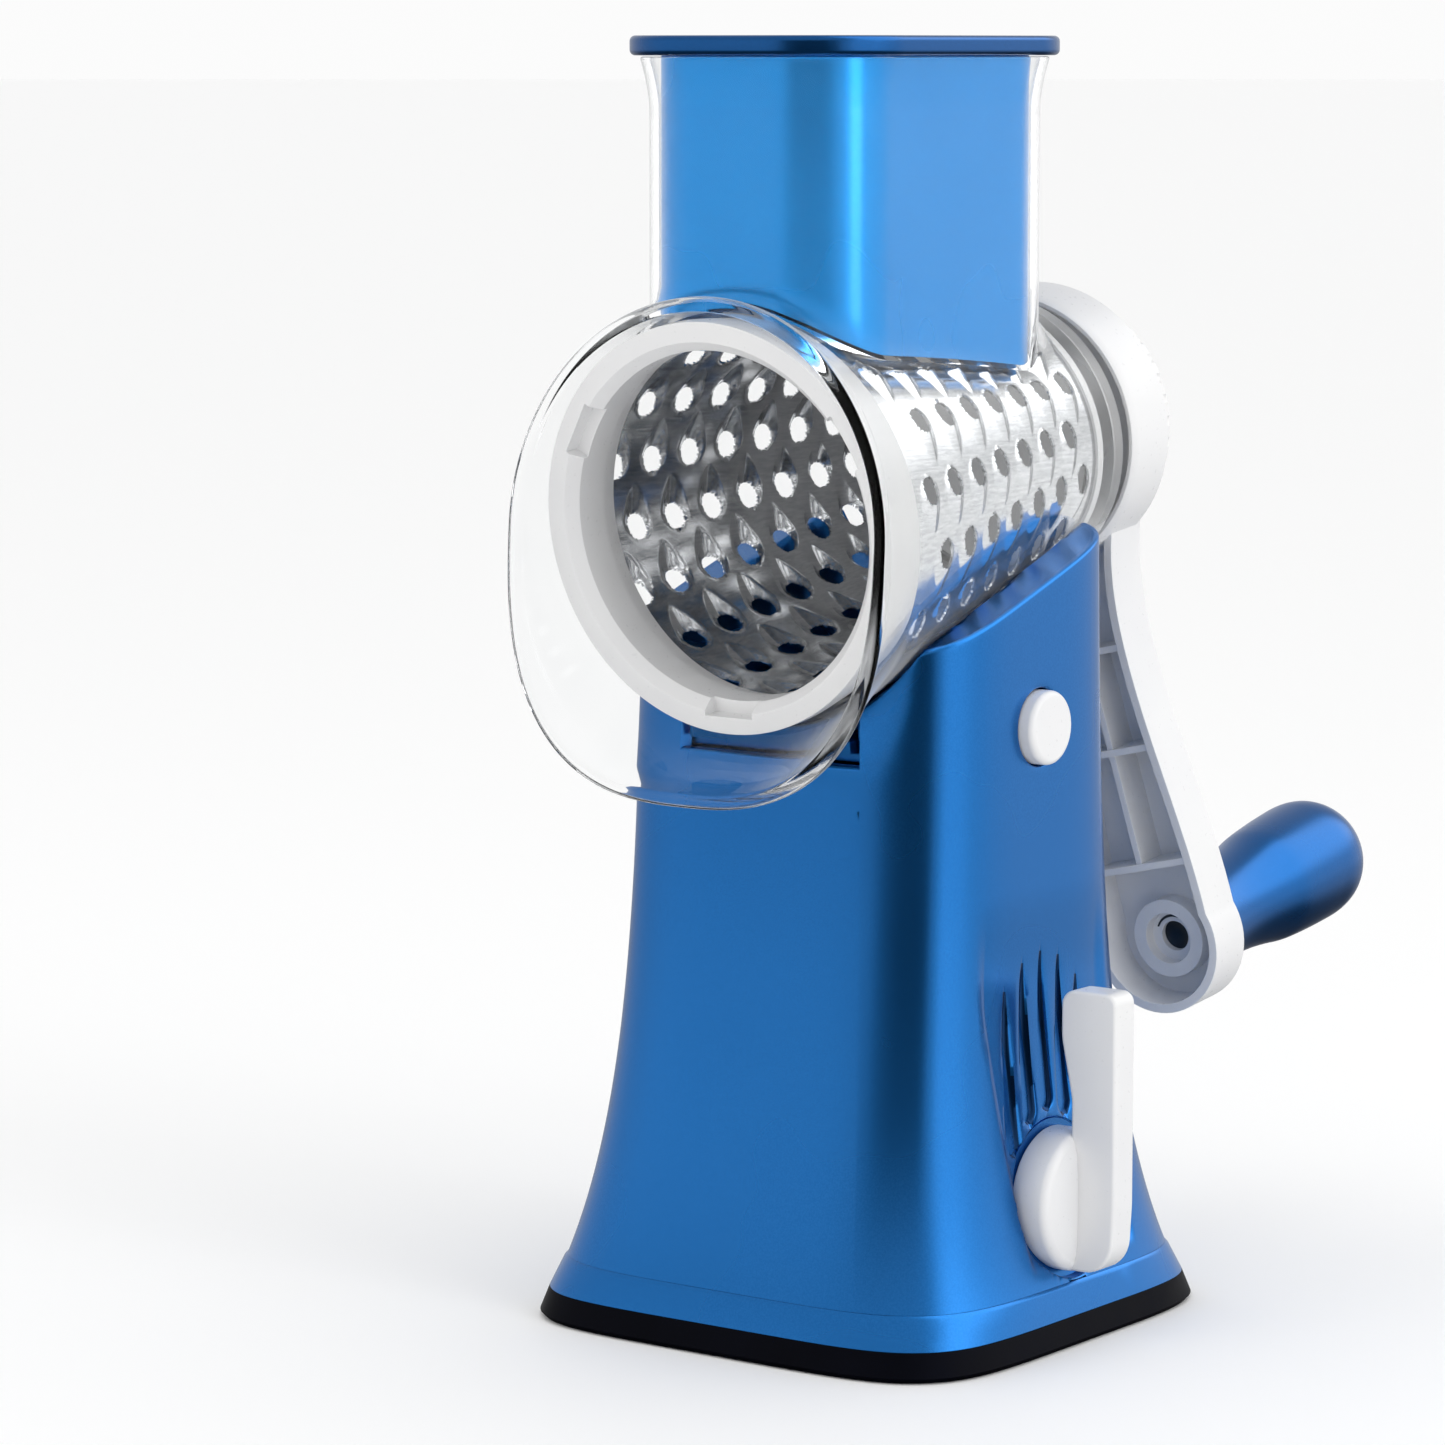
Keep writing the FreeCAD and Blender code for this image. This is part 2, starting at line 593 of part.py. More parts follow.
def crank_arm():
    depth = CRANK_BACK - CRANK_FRONT
    arm = Part.Face(arm_outline(0)).extrude(V(0, depth, 0))
    pocket = Part.Face(arm_outline(CRANK_WALL)).extrude(V(0, depth - 2.2, 0))
    ribs = [block(-20, 20, CRANK_FRONT + 1.2, CRANK_BACK - 1, -s - 0.9, -s + 0.9) for s in (61, 88, 119)]
    ribs.append(block(-0.9, 0.9, CRANK_FRONT + 2.0, CRANK_BACK - 1, -119, -61))
    ribs.append(rod(10.5, V(0, CRANK_FRONT + 6.5, -CRANK_REACH), V(0, 1, 0), depth - 7))
    pocket = pocket.cut(ribs)
    arm = arm.cut(pocket)
    rim, front, back = CRANK_HEAD_R, CRANK_HEAD_FRONT, CRANK_BACK
    head = lathe([(0, back - 3), (rim - 3, back - 3), (rim - 3, front + 2), (rim - 2, front), (rim - 1, front),
                  (rim, front + 2), (rim, back - 2), (rim - 2, back), (0, back)])
    socket = rod(SOCKET_R, V(0, 54.4, 0), V(0, 1, 0), CRANK_BACK - 54.4)
    crank = head.fuse([arm, socket])
    crank = crank.cut(fluted(HUB_R + 0.2, 1.2, 50, 80.0))
    crank = crank.cut(rod(6.8, V(0, CRANK_FRONT - 2, -CRANK_REACH), V(0, 1, 0), 12.0))
    crank = swung(crank)
    return to_row(crank.cut(grip_line(rod(PIN_R, V(0, -20, 0), V(0, 1, 0), 60))))


def crank_cap():
    """Knurled cover on the back of the crank's head."""
    cap = lathe([(0, CRANK_BACK), (CAP_R, CRANK_BACK), (CAP_R, CRANK_BACK + CAP_DEPTH - 1.5),
                 (CAP_R - 1.5, CRANK_BACK + CAP_DEPTH), (0, CRANK_BACK + CAP_DEPTH)])
    cuts = []
    for k in range(KNURLS):
        angle = 2 * pi * k / KNURLS
        reach = CAP_R + 0.9
        start = V(reach * cos(angle), CRANK_BACK + 1.2, reach * sin(angle))
        cuts.append(rod(1.6, start, V(0, 1, 0), CAP_DEPTH))
    return to_row(cap.cut(cuts))


# ---------------------------------------------------------------- grip
def grip_line(shape):
    """Place a shape built on the W axis at the end of the swung crank."""
    moved = shape.copy()
    moved.rotate(V(0, 0, 0), V(1, 0, 0), GRIP_LEAN)
    angle = radians(CRANK_SWING)
    moved.translate(V(CRANK_REACH * sin(angle), CRANK_BACK, -CRANK_REACH * cos(angle)))
    return moved


def knob_pin():
    """Steel pin pressed in the crank's end, with a head that keeps the grip on."""
    head = PIN_R + 2.2
    pin = lathe([(0, -3.8), (PIN_R, -3.8), (PIN_R, PIN_END), (head, PIN_END), (head, PIN_END + 2), (0, PIN_END + 2)])
    return to_row(grip_line(pin))


def grip_profile(w):
    """Grip radius: a slim neck that swells to a bulb and closes in a dome."""
    t = (w - GRIP_START) / (GRIP_LENGTH - GRIP_START)
    swell = 0.5 - 0.5 * cos(pi * min(1.0, t / 0.78))
    radius = GRIP_NECK_R - 1.4 * sin(pi * min(1.0, t / 0.5)) + (GRIP_BULB_R - GRIP_NECK_R) * swell
    fall = max(0.0, (t - 0.78) / 0.22)
    return radius * sqrt(max(0.0, 1 - fall ** 2.2))


def turned(w0, w1, steps, bore, bore_end):
    """Solid of the grip profile between two stations, bored from its front."""
    curve = Part.BSplineCurve()
    stations = [w0 + (w1 - w0) * i / steps for i in range(steps + 1)]
    curve.interpolate([V(grip_profile(w), w, 0) for w in stations])
    r0, r1 = grip_profile(w0), grip_profile(w1)
    edges = [curve.toShape()]
    edges.append(Part.makeLine(V(0, w0, 0), V(r0, w0, 0)))
    edges.append(Part.makeLine(V(0, w0, 0), V(0, w1, 0)))
    if r1 > 0.01:
        edges.append(Part.makeLine(V(0, w1, 0), V(r1, w1, 0)))
    wire = Part.Wire(Part.__sortEdges__(edges))
    solid = Part.Face(wire).revolve(V(0, 0, 0), V(0, 1, 0), 360)
    return solid.cut(rod(bore, V(0, -5, 0), V(0, 1, 0), 5 + bore_end))


def knob_grip():
    grip = turned(GRIP_START, CAP_START, 14, PIN_R + FIT, CAP_START + 1)
    return to_row(grip_line(grip.cut(rod(PIN_R + 3.0, V(0, PIN_END - 0.3, 0), V(0, 1, 0), 10))))


def knob_cap():
    return to_row(grip_line(turned(CAP_START, GRIP_LENGTH - 0.3, 8, PIN_R + 3.0, CAP_START - 1)))


# ---------------------------------------------------------------- pusher
def pusher_body():
    inset = HOUSING_WALL + PUSHER_GAP
    body = chute_space(inset, CHUTE_BASE, CHUTE_TOP + 0.3)
    clear = to_row(lathe([(0, -80), (drum_r(-80) + 2.6, -80), (drum_r(60) + 2.6, 60), (0, 60)]))
    floor = to_row(lathe([(0, -80), (drum_r(-80) + 4.8, -80), (drum_r(60) + 4.8, 60), (0, 60)]))
    hollow = chute_space(inset + 2.0, CHUTE_BASE, CHUTE_TOP + 5).cut(floor)
    return pick_biggest(body.cut(clear).cut(hollow))


def pusher_lid():
    low = CHUTE_TOP + 0.3
    width, depth = CHUTE_WIDTH + 2 * LID_OVER, CHUTE_DEPTH + 2 * LID_OVER
    lid = prism(rounded_rect(width, depth, CHUTE_CORNER + LID_OVER - 2, low, CHUTE_Y), TOTAL_HEIGHT - low)
    rims = [edge for edge in lid.Edges if edge.BoundBox.ZLength < 0.01]
    return lid.makeFillet(1.4, rims)


NODES = [body_shell, base_band, suction_pad, bottom_plate, base_screws, dock_rail, release_button, latch_slide,
         button_spring, suction_lever, lever_axle, lever_bush, lever_cam, cam_clips, suction_plunger, housing,
         feed_chute, rear_bearing, mounting_bracket, bracket_screws, drum_cone, drum_front_ring,
         drum_rear_plate, drum_coupling,
         crank_arm, crank_cap, knob_pin, knob_grip, knob_cap, pusher_body, pusher_lid]

for make in NODES:
    export(make.__name__, make())
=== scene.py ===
"""Looks of the rotary cheese grater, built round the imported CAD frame.  Metres, row frame:
+Z up, -Y towards the open mouth, +Y towards the crank, +X towards the button and the lever."""
import bpy
import bmesh
import json
import numpy as np
from math import atan2, cos, exp, pi, radians, sin, sqrt
from mathutils import Matrix, Vector


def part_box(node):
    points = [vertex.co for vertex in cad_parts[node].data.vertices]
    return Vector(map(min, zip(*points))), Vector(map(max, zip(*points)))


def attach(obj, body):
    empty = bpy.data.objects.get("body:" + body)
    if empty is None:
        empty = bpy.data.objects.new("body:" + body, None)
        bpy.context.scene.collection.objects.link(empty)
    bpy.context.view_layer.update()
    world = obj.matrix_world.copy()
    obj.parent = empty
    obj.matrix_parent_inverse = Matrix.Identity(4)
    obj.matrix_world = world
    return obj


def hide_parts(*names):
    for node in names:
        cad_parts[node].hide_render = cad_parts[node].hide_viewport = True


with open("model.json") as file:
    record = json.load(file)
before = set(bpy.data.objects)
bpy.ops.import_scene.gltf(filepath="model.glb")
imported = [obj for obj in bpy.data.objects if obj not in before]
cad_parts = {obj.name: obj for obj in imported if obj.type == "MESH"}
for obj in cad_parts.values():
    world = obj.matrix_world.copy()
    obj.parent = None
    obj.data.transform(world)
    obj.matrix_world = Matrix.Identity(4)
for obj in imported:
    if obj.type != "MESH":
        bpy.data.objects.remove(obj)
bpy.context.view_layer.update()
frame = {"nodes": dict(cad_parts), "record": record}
MM = 0.001
RECORD = frame["record"]
JOINTS = {joint["name"]: joint for joint in RECORD["behaviour"]["joints"]}


# ------------------------------------------------------------------ places read from the frame
AXIS_POINT = Vector(JOINTS["crank_turn"]["pos_m"])
AXIS_DIR = Vector(JOINTS["crank_turn"]["axis"]).normalized()
AXIS_UP = Vector((1, 0, 0)).cross(AXIS_DIR)
GRIP_POINT = Vector(JOINTS["grip_spin"]["pos_m"])
LEVER_POINT = Vector(JOINTS["lever_turn"]["pos_m"])


def from_drum(x, w, v):
    """Row-frame point from drum coordinates: across, rearward along the axis, and up square to it."""
    return AXIS_POINT + Vector((x, 0, 0)) + AXIS_DIR * w + AXIS_UP * v


def to_drum(point):
    away = Vector(point) - AXIS_POINT
    return away.x, away.dot(AXIS_DIR), away.dot(AXIS_UP)


def node_in_drum(node):
    """A node's vertices in drum coordinates, one row each."""
    return np.array([to_drum(v.co) for v in frame["nodes"][node].data.vertices])


# ------------------------------------------------------------------ mesh helpers
def new_piece(name, verts, faces, body, material, replaces=(), smooth=True):
    mesh = bpy.data.meshes.new(name)
    mesh.from_pydata([tuple(v) for v in verts], [], faces)
    mesh.validate()
    mesh.update()
    for polygon in mesh.polygons:
        polygon.use_smooth = smooth
    piece = bpy.data.objects.new(name, mesh)
    bpy.context.scene.collection.objects.link(piece)
    mesh.materials.append(material)
    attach(piece, body)
    if replaces:
        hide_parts(*replaces)
    return piece


def outward(piece):
    """Make every face of a closed mesh look outward."""
    bm = bmesh.new()
    bm.from_mesh(piece.data)
    bmesh.ops.recalc_face_normals(bm, faces=bm.faces)
    bm.to_mesh(piece.data)
    bm.free()


def apply_modifiers(piece):
    """Replace the piece's mesh by its evaluated one, so that no modifier is left."""
    graph = bpy.context.evaluated_depsgraph_get()
    mesh = bpy.data.meshes.new_from_object(piece.evaluated_get(graph))
    piece.modifiers.clear()
    piece.data = mesh


def soften(piece, width, segments=3, angle=35):
    """Round the sharp edges and shade the rest smooth."""
    bevel = piece.modifiers.new("edge", "BEVEL")
    bevel.width = width
    bevel.segments = segments
    bevel.limit_method = "ANGLE"
    bevel.angle_limit = radians(angle)
    bevel.miter_outer = "MITER_ARC"
    weighted = piece.modifiers.new("normals", "WEIGHTED_NORMAL")
    weighted.keep_sharp = False
    apply_modifiers(piece)


def even_normals(piece, angle):
    """Smooth shading by face area, split at edges sharper than the angle."""
    piece.data.set_sharp_from_angle(angle=radians(angle))
    weighted = piece.modifiers.new("normals", "WEIGHTED_NORMAL")
    weighted.keep_sharp = True
    apply_modifiers(piece)


def mesh_of(node):
    """A welded copy of a CAD node's mesh without the flat facets' inner edges."""
    bm = bmesh.new()
    bm.from_mesh(frame["nodes"][node].data)
    bmesh.ops.remove_doubles(bm, verts=bm.verts, dist=3e-6)
    bmesh.ops.dissolve_degenerate(bm, edges=bm.edges, dist=3e-6)
    bmesh.ops.dissolve_limit(bm, angle_limit=radians(0.5), verts=bm.verts, edges=bm.edges)
    mesh = bpy.data.meshes.new(node + "_look")
    bm.to_mesh(mesh)
    bm.free()
    return mesh


def finish_of(node):
    """The node's own finish, or else the finish of its material slot."""
    return OWN_FINISH.get(node, FINISH[SLOT_OF[node]])


def refined(node, width=0.0, segments=3, angle=38):
    """Stand-in for a CAD node with softened edges and smooth shading."""
    mesh = mesh_of(node)
    for polygon in mesh.polygons:
        polygon.use_smooth = True
    piece = bpy.data.objects.new(node + "_look", mesh)
    bpy.context.scene.collection.objects.link(piece)
    mesh.materials.append(finish_of(node))
    if width:
        soften(piece, width, segments, angle)
    else:
        piece.data.set_sharp_from_angle(angle=radians(angle))
    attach(piece, BODY_OF[node])
    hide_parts(node)
    return piece


def grid_faces(rows, columns, wrap):
    """Quads of a rows x columns grid of vertices; wrap closes each row on itself."""
    faces = []
    last = columns if wrap else columns - 1
    for r in range(rows - 1):
        for c in range(last):
            d = (c + 1) % columns
            faces.append((r * columns + c, r * columns + d, (r + 1) * columns + d, (r + 1) * columns + c))
    return faces


def turned(name, profile, place, body, material, replaces=(), segments=128):
    """Solid of revolution: profile lists (radius, station); place maps (x, station, y) to the row frame."""
    verts = []
    for radius, station in profile:
        for k in range(segments):
            angle = 2 * pi * k / segments
            verts.append(place(radius * cos(angle), station, radius * sin(angle)))
    faces = grid_faces(len(profile), segments, True)
    if profile[0] != profile[-1]:
        faces.append(tuple(range(segments)))
        faces.append(tuple(reversed(range((len(profile) - 1) * segments, len(profile) * segments))))
    piece = new_piece(name, verts, faces, body, material, replaces)
    outward(piece)
    return piece


def smoothstep(low, high, value):
    t = min(1.0, max(0.0, (value - low) / (high - low)))
    return t * t * (3 - 2 * t)


# ------------------------------------------------------------------ materials
def new_material(name):
    material = bpy.data.materials.new(name)
    material.use_nodes = True
    nodes, links = material.node_tree.nodes, material.node_tree.links
    return material, nodes, links, nodes["Principled BSDF"]


def noise(nodes, links, scale, detail=3.0, stretch=(1, 1, 1)):
    """Noise over the row-frame position, stretched along the chosen axes."""
    coordinates = nodes.new("ShaderNodeTexCoord")
    mapping = nodes.new("ShaderNodeMapping")
    mapping.inputs["Scale"].default_value = stretch
    texture = nodes.new("ShaderNodeTexNoise")
    texture.inputs["Scale"].default_value = scale
    texture.inputs["Detail"].default_value = detail
    links.new(coordinates.outputs["Object"], mapping.inputs["Vector"])
    links.new(mapping.outputs["Vector"], texture.inputs["Vector"])
    return texture


def spread(nodes, links, source, low, high):
    """Map a 0 to 1 value onto low to high."""
    node = nodes.new("ShaderNodeMapRange")
    node.inputs["From Min"].default_value = 0.3
    node.inputs["From Max"].default_value = 0.7
    node.inputs["To Min"].default_value = low
    node.inputs["To Max"].default_value = high
    links.new(source, node.inputs["Value"])
    return node.outputs["Result"]


def two_tone(nodes, links, source, dark, light):
    ramp = nodes.new("ShaderNodeValToRGB")
    ramp.color_ramp.elements[0].position = 0.35
    ramp.color_ramp.elements[1].position = 0.65
    ramp.color_ramp.elements[0].color = (*dark, 1)
    ramp.color_ramp.elements[1].color = (*light, 1)
    links.new(source, ramp.inputs["Fac"])
    return ramp.outputs["Color"]


def bumped(nodes, links, source, shader, strength, distance):
    bump = nodes.new("ShaderNodeBump")
    bump.inputs["Strength"].default_value = strength
    bump.inputs["Distance"].default_value = distance
    links.new(source, bump.inputs["Height"])
    links.new(bump.outputs["Normal"], shader.inputs["Normal"])
    return bump


def blue_lacquer(name="blue_lacquer", low=(0.009, 0.142, 0.445), high=(0.013, 0.160, 0.485)):
    """Metallic blue under a clear coat: fine flake variation and a trace of orange peel."""
    material, nodes, links, shader = new_material(name)
    flake = noise(nodes, links, 2200, 2.0)
    cloud = noise(nodes, links, 14, 2.0)
    colour = two_tone(nodes, links, flake.outputs["Fac"], low, high)
    links.new(colour, shader.inputs["Base Color"])
    links.new(spread(nodes, links, cloud.outputs["Fac"], 0.24, 0.30), shader.inputs["Roughness"])
    shader.inputs["Metallic"].default_value = 0.9
    shader.inputs["Coat Weight"].default_value = 0.12
    shader.inputs["Coat Roughness"].default_value = 0.06
    peel = noise(nodes, links, 180, 2.0)
    bumped(nodes, links, peel.outputs["Fac"], shader, 0.012, 0.0002)
    return material


def white_plastic(name="white_plastic", value=0.76):
    material, nodes, links, shader = new_material(name)
    cloud = noise(nodes, links, 30, 3.0)
    colour = two_tone(nodes, links, cloud.outputs["Fac"], (value, value, value * 1.01), (value * 1.03,) * 3)
    links.new(colour, shader.inputs["Base Color"])
    grain = noise(nodes, links, 900, 3.0)
    links.new(spread(nodes, links, grain.outputs["Fac"], 0.27, 0.38), shader.inputs["Roughness"])
    shader.inputs["Subsurface Weight"].default_value = 0.12
    shader.inputs["Subsurface Radius"].default_value = (0.002, 0.002, 0.002)
    shader.inputs["Subsurface Scale"].default_value = 1.0
    bumped(nodes, links, grain.outputs["Fac"], shader, 0.04, 0.0001)
    return material


def clear_plastic():
    """Clear moulded plastic, milky where it is seen edge on."""
    material, nodes, links, shader = new_material("clear_plastic")
    cloud = noise(nodes, links, 40, 2.0)
    colour = two_tone(nodes, links, cloud.outputs["Fac"], (0.965, 0.972, 0.975), (0.985, 0.99, 0.99))
    links.new(colour, shader.inputs["Base Color"])
    links.new(spread(nodes, links, cloud.outputs["Fac"], 0.0, 0.012), shader.inputs["Roughness"])
    shader.inputs["Transmission Weight"].default_value = 1.0
    shader.inputs["IOR"].default_value = 1.2
    frost = nodes.new("ShaderNodeBsdfPrincipled")
    frost.inputs["Base Color"].default_value = (0.80, 0.81, 0.82, 1)
    frost.inputs["Roughness"].default_value = 0.35
    frost.inputs["Specular IOR Level"].default_value = 0.2
    edge = nodes.new("ShaderNodeLayerWeight")
    edge.inputs["Blend"].default_value = 0.5
    amount = nodes.new("ShaderNodeMapRange")
    amount.interpolation_type = "SMOOTHSTEP"
    amount.inputs["From Min"].default_value = 0.62
    amount.inputs["From Max"].default_value = 0.97
    amount.inputs["To Max"].default_value = 0.6
    links.new(edge.outputs["Facing"], amount.inputs["Value"])
    blend = nodes.new("ShaderNodeMixShader")
    links.new(amount.outputs["Result"], blend.inputs["Fac"])
    links.new(shader.outputs["BSDF"], blend.inputs[1])
    links.new(frost.outputs["BSDF"], blend.inputs[2])
    links.new(blend.outputs["Shader"], nodes["Material Output"].inputs["Surface"])
    return material


def black_rubber():
    material, nodes, links, shader = new_material("black_rubber")
    cloud = noise(nodes, links, 60, 4.0)
    colour = two_tone(nodes, links, cloud.outputs["Fac"], (0.0008, 0.0010, 0.003), (0.0016, 0.0020, 0.005))
    links.new(colour, shader.inputs["Base Color"])
    links.new(spread(nodes, links, cloud.outputs["Fac"], 0.42, 0.58), shader.inputs["Roughness"])
    shader.inputs["Specular IOR Level"].default_value = 0.04
    grain = noise(nodes, links, 1400, 3.0)
    bumped(nodes, links, grain.outputs["Fac"], shader, 0.12, 0.0002)
    return material


def dark_plastic():
    material, nodes, links, shader = new_material("dark_plastic")
    cloud = noise(nodes, links, 80, 4.0)
    colour = two_tone(nodes, links, cloud.outputs["Fac"], (0.035, 0.038, 0.045), (0.055, 0.058, 0.066))
    links.new(colour, shader.inputs["Base Color"])
    links.new(spread(nodes, links, cloud.outputs["Fac"], 0.45, 0.6), shader.inputs["Roughness"])
    return material


def steel(name="steel", stretch=(1, 1, 1), low=0.16, high=0.26, shade=1.0, scratch=0.05):
    """Rolled stainless sheet with fine lines along the roll."""
    material, nodes, links, shader = new_material(name)
    lines = noise(nodes, links, 260, 4.0, stretch)
    colour = two_tone(nodes, links, lines.outputs["Fac"], [shade * c for c in (0.56, 0.57, 0.59)],
                      [shade * c for c in (0.70, 0.71, 0.72)])
    links.new(colour, shader.inputs["Base Color"])
    links.new(spread(nodes, links, lines.outputs["Fac"], low, high), shader.inputs["Roughness"])
    shader.inputs["Metallic"].default_value = 1.0
    bumped(nodes, links, lines.outputs["Fac"], shader, scratch, 0.0001)
    return material


BLUE = blue_lacquer()
WHITE = white_plastic()
CLEAR = clear_plastic()
# Darker copy of the blue lacquer, used as painted shade on the groove floors.
GROOVE_SHADE_BLUE = blue_lacquer("groove_painted_shade", (0.002, 0.030, 0.105), (0.003, 0.036, 0.120))
# Darker copy of the blue lacquer: painted shade on the knob.
KNOB_SHADE_BLUE = blue_lacquer("knob_painted_shade", (0.006, 0.095, 0.310), (0.008, 0.105, 0.340))
# Darker copy of the blue lacquer: painted shade on the pusher's lid.
LID_SHADE_BLUE = blue_lacquer("lid_painted_shade", (0.006, 0.080, 0.260), (0.008, 0.090, 0.290))
# Brighter copy of the blue lacquer: painted light on the pusher.
PUSHER_LIT_BLUE = blue_lacquer("pusher_painted_light", (0.012, 0.250, 0.660), (0.016, 0.275, 0.700))
RUBBER = black_rubber()
DARK = dark_plastic()
STEEL = steel()
DRUM_STEEL = steel("drum_steel", (6, 0.3, 6), 0.13, 0.18, 0.95, 0.006)
FINISH = {"blue_plastic": BLUE, "white_plastic": WHITE, "clear_plastic": CLEAR, "black_rubber": RUBBER,
          "dark_plastic": DARK, "steel": STEEL}
PIN_STEEL = steel("pin_steel", (1, 1, 1), 0.45, 0.6, 0.1)
# Knob and lid take darker painted-shade copies of the blue lacquer, the pusher a brighter painted-light copy.
OWN_FINISH = {"knob_pin": PIN_STEEL, "knob_grip": KNOB_SHADE_BLUE, "knob_cap": KNOB_SHADE_BLUE,
              "pusher_body": PUSHER_LIT_BLUE, "pusher_lid": LID_SHADE_BLUE}
SLOT_OF = {part["node"]: part["material_slot"] for part in RECORD["subparts"]}
BODY_OF = {node: body for body, nodes in RECORD["behaviour"]["bodies"].items() for node in nodes}


def finish_cad_nodes():
    """Give every carried-over CAD node its procedural finish."""
    for node, piece in frame["nodes"].items():
        piece.data.materials.clear()
        piece.data.materials.append(finish_of(node))


finish_cad_nodes()


SOFT_EDGES = {"base_band": 0.3 * MM, "suction_pad": 0.4 * MM, "crank_arm": 0.6 * MM, "crank_cap": 0.4 * MM,
              "release_button": 0.4 * MM, "drum_front_ring": 0.4 * MM,
              "pusher_body": 0.3 * MM, "pusher_lid": 0.0, "rear_bearing": 0.3 * MM,
              "mounting_bracket": 0.3 * MM, "dock_rail": 0.3 * MM, "knob_grip": 0.0, "knob_cap": 0.0}


# ------------------------------------------------------------------ pillar
BAND_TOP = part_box("base_band")[1][2]
SETTLED = (50.5 * MM, 41.0 * MM)        # half width and half depth that the flare settles to
FLARE = (13.0 * MM, 22.0 * MM)
FADE = (40.0 * MM, 60.0 * MM)
CORNER_POWER = 4.6
WALL = 2.6 * MM
BUTTON_WALL = 5.6 * MM       # the wall is thicker behind the button's pocket
SLOPE_REAR = (40.0 * MM, 199.0 * MM)    # a point of the sloping top: Y and height
SLOPE = radians(18.5)
SADDLE_R = (37.8 * MM, 60.0 * MM, 0.143)        # radius at a station along the axis, and its taper
TROUGH_HALF = 26.8 * MM
TROUGH_FLOOR = -60.0 * MM
TROUGH_REAR = 32.4 * MM
GROOVES = 5
GROOVE_PITCH = 8.0 * MM
GROOVE_DEPTH = 2.1 * MM
GROOVE_FIELD = 3.2 * MM     # half width that the widest groove takes
LEVER_POCKET = (0.0, LEVER_POINT.z, 19.3 * MM, 54.2 * MM)       # Y, Z, radius, X of the floor
BUTTON_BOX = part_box("release_button")
BUTTON_Z = (BUTTON_BOX[0][2] + BUTTON_BOX[1][2]) / 2
BUTTON_POCKET = (0.0, BUTTON_Z, 9.7 * MM, 45.4 * MM)
LOWER_ROWS = 116            # 1 mm apart
UPPER_ROWS = 40
SHOULDER = 150 * MM         # height where the pillar is nearly straight
SIDE_HALF = 34 * MM         # half width of the +X side that may be dished or grooved
TILT_SIN, TILT_COS = AXIS_DIR.z, AXIS_DIR.y


def half_sizes(z):
    rise = z - BAND_TOP + MM
    return [settled + flare * exp(-rise / fade) for settled, flare, fade in zip(SETTLED, FLARE, FADE)]


def side_point(turn, z, inset):
    """Point of the square section at a polar angle."""
    hx, hy = half_sizes(z)
    hx, hy = hx - inset, hy - inset
    reach = (abs(cos(turn) / hx) ** CORNER_POWER + abs(sin(turn) / hy) ** CORNER_POWER) ** (-1 / CORNER_POWER)
    return reach * cos(turn), reach * sin(turn)


def pillar_top(x, y, in_trough):
    """Height of the pillar's upper edge: the slope, the saddle round the cone or the dock trough."""
    if in_trough and y < 0:
        w = (y + TROUGH_FLOOR * TILT_SIN) / TILT_COS
        return AXIS_POINT.z + w * TILT_SIN + TROUGH_FLOOR * TILT_COS
    top = SLOPE_REAR[1] - (SLOPE_REAR[0] - y) * sin(SLOPE) / cos(SLOPE)
    v = -SADDLE_R[0]
    for _ in range(6):
        w = (y + v * TILT_SIN) / TILT_COS
        radius = SADDLE_R[0] + SADDLE_R[2] * (SADDLE_R[1] - w)
        if abs(x) >= radius:
            return top
        v = -sqrt(radius * radius - x * x)
    return min(top, AXIS_POINT.z + w * TILT_SIN + v * TILT_COS)


def pillar_columns():
    """Polar angles of the columns: closer on the +X side, doubled at the trough's corners."""
    turns, turn = [], -pi
    while turn < pi:
        x, y = side_point(turn, 0.1, 0)
        fine = x > 0 and abs(y) < 25 * MM
        turns.append(turn)
        turn += (0.5 if fine else 1.7) * MM / sqrt(x * x + y * y)
    hx, hy = half_sizes(SHOULDER)
    y = -hy * (1 - (TROUGH_HALF / hx) ** CORNER_POWER) ** (1 / CORNER_POWER)
    step = 0.00002
    for side in (-1, 1):
        corner = atan2(y, side * TROUGH_HALF)
        turns = [t for t in turns if abs(t - corner) > 0.012]
        turns += [corner - step, corner + step]
    return sorted(turns)


def groove_span(centre, z):
    """Half width and depth of a groove at a height; 0.3 mm and no depth where there is none."""
    low = 56.0 * MM - 35 * centre * centre
    high = 99.0 * MM - 32 * centre * centre
    least = 0.3 * MM
    if z <= low:
        return least + (GROOVE_FIELD - least) * min(1.0, (low - z) / (3 * MM)), 0.0
    if z >= high:
        return least + (GROOVE_FIELD - least) * min(1.0, (z - high) / (12 * MM)), 0.0
    up = (z - low) / (high - low)
    half = max(least, GROOVE_FIELD * min(1.0, sqrt(up / 0.07)) * (1 - up) ** 0.65)
    return half, GROOVE_DEPTH * min(1.0, (half - least) / (1.8 * MM)) * min(1.0, 6 * (1 - up))


def side_shift(y, z):
    """Where a +X side column stands at this height so that grooves run along columns, and how deep."""
    place = y / GROOVE_PITCH + (GROOVES - 1) / 2
    nearest = round(place)
    if nearest < 0 or nearest >= GROOVES:
        return y, 0.0
    centre = (nearest - (GROOVES - 1) / 2) * GROOVE_PITCH
    half, depth = groove_span(centre, z)
    away = abs(y - centre)
    side = 1 if y >= centre else -1
    if away <= GROOVE_FIELD:
        u = away / GROOVE_FIELD
        return centre + side * u * half, depth * (1 - u * u) ** 0.8
    share = (away - GROOVE_FIELD) / (GROOVE_PITCH / 2 - GROOVE_FIELD)
    return centre + side * (half + share * (GROOVE_PITCH / 2 - half)), 0.0


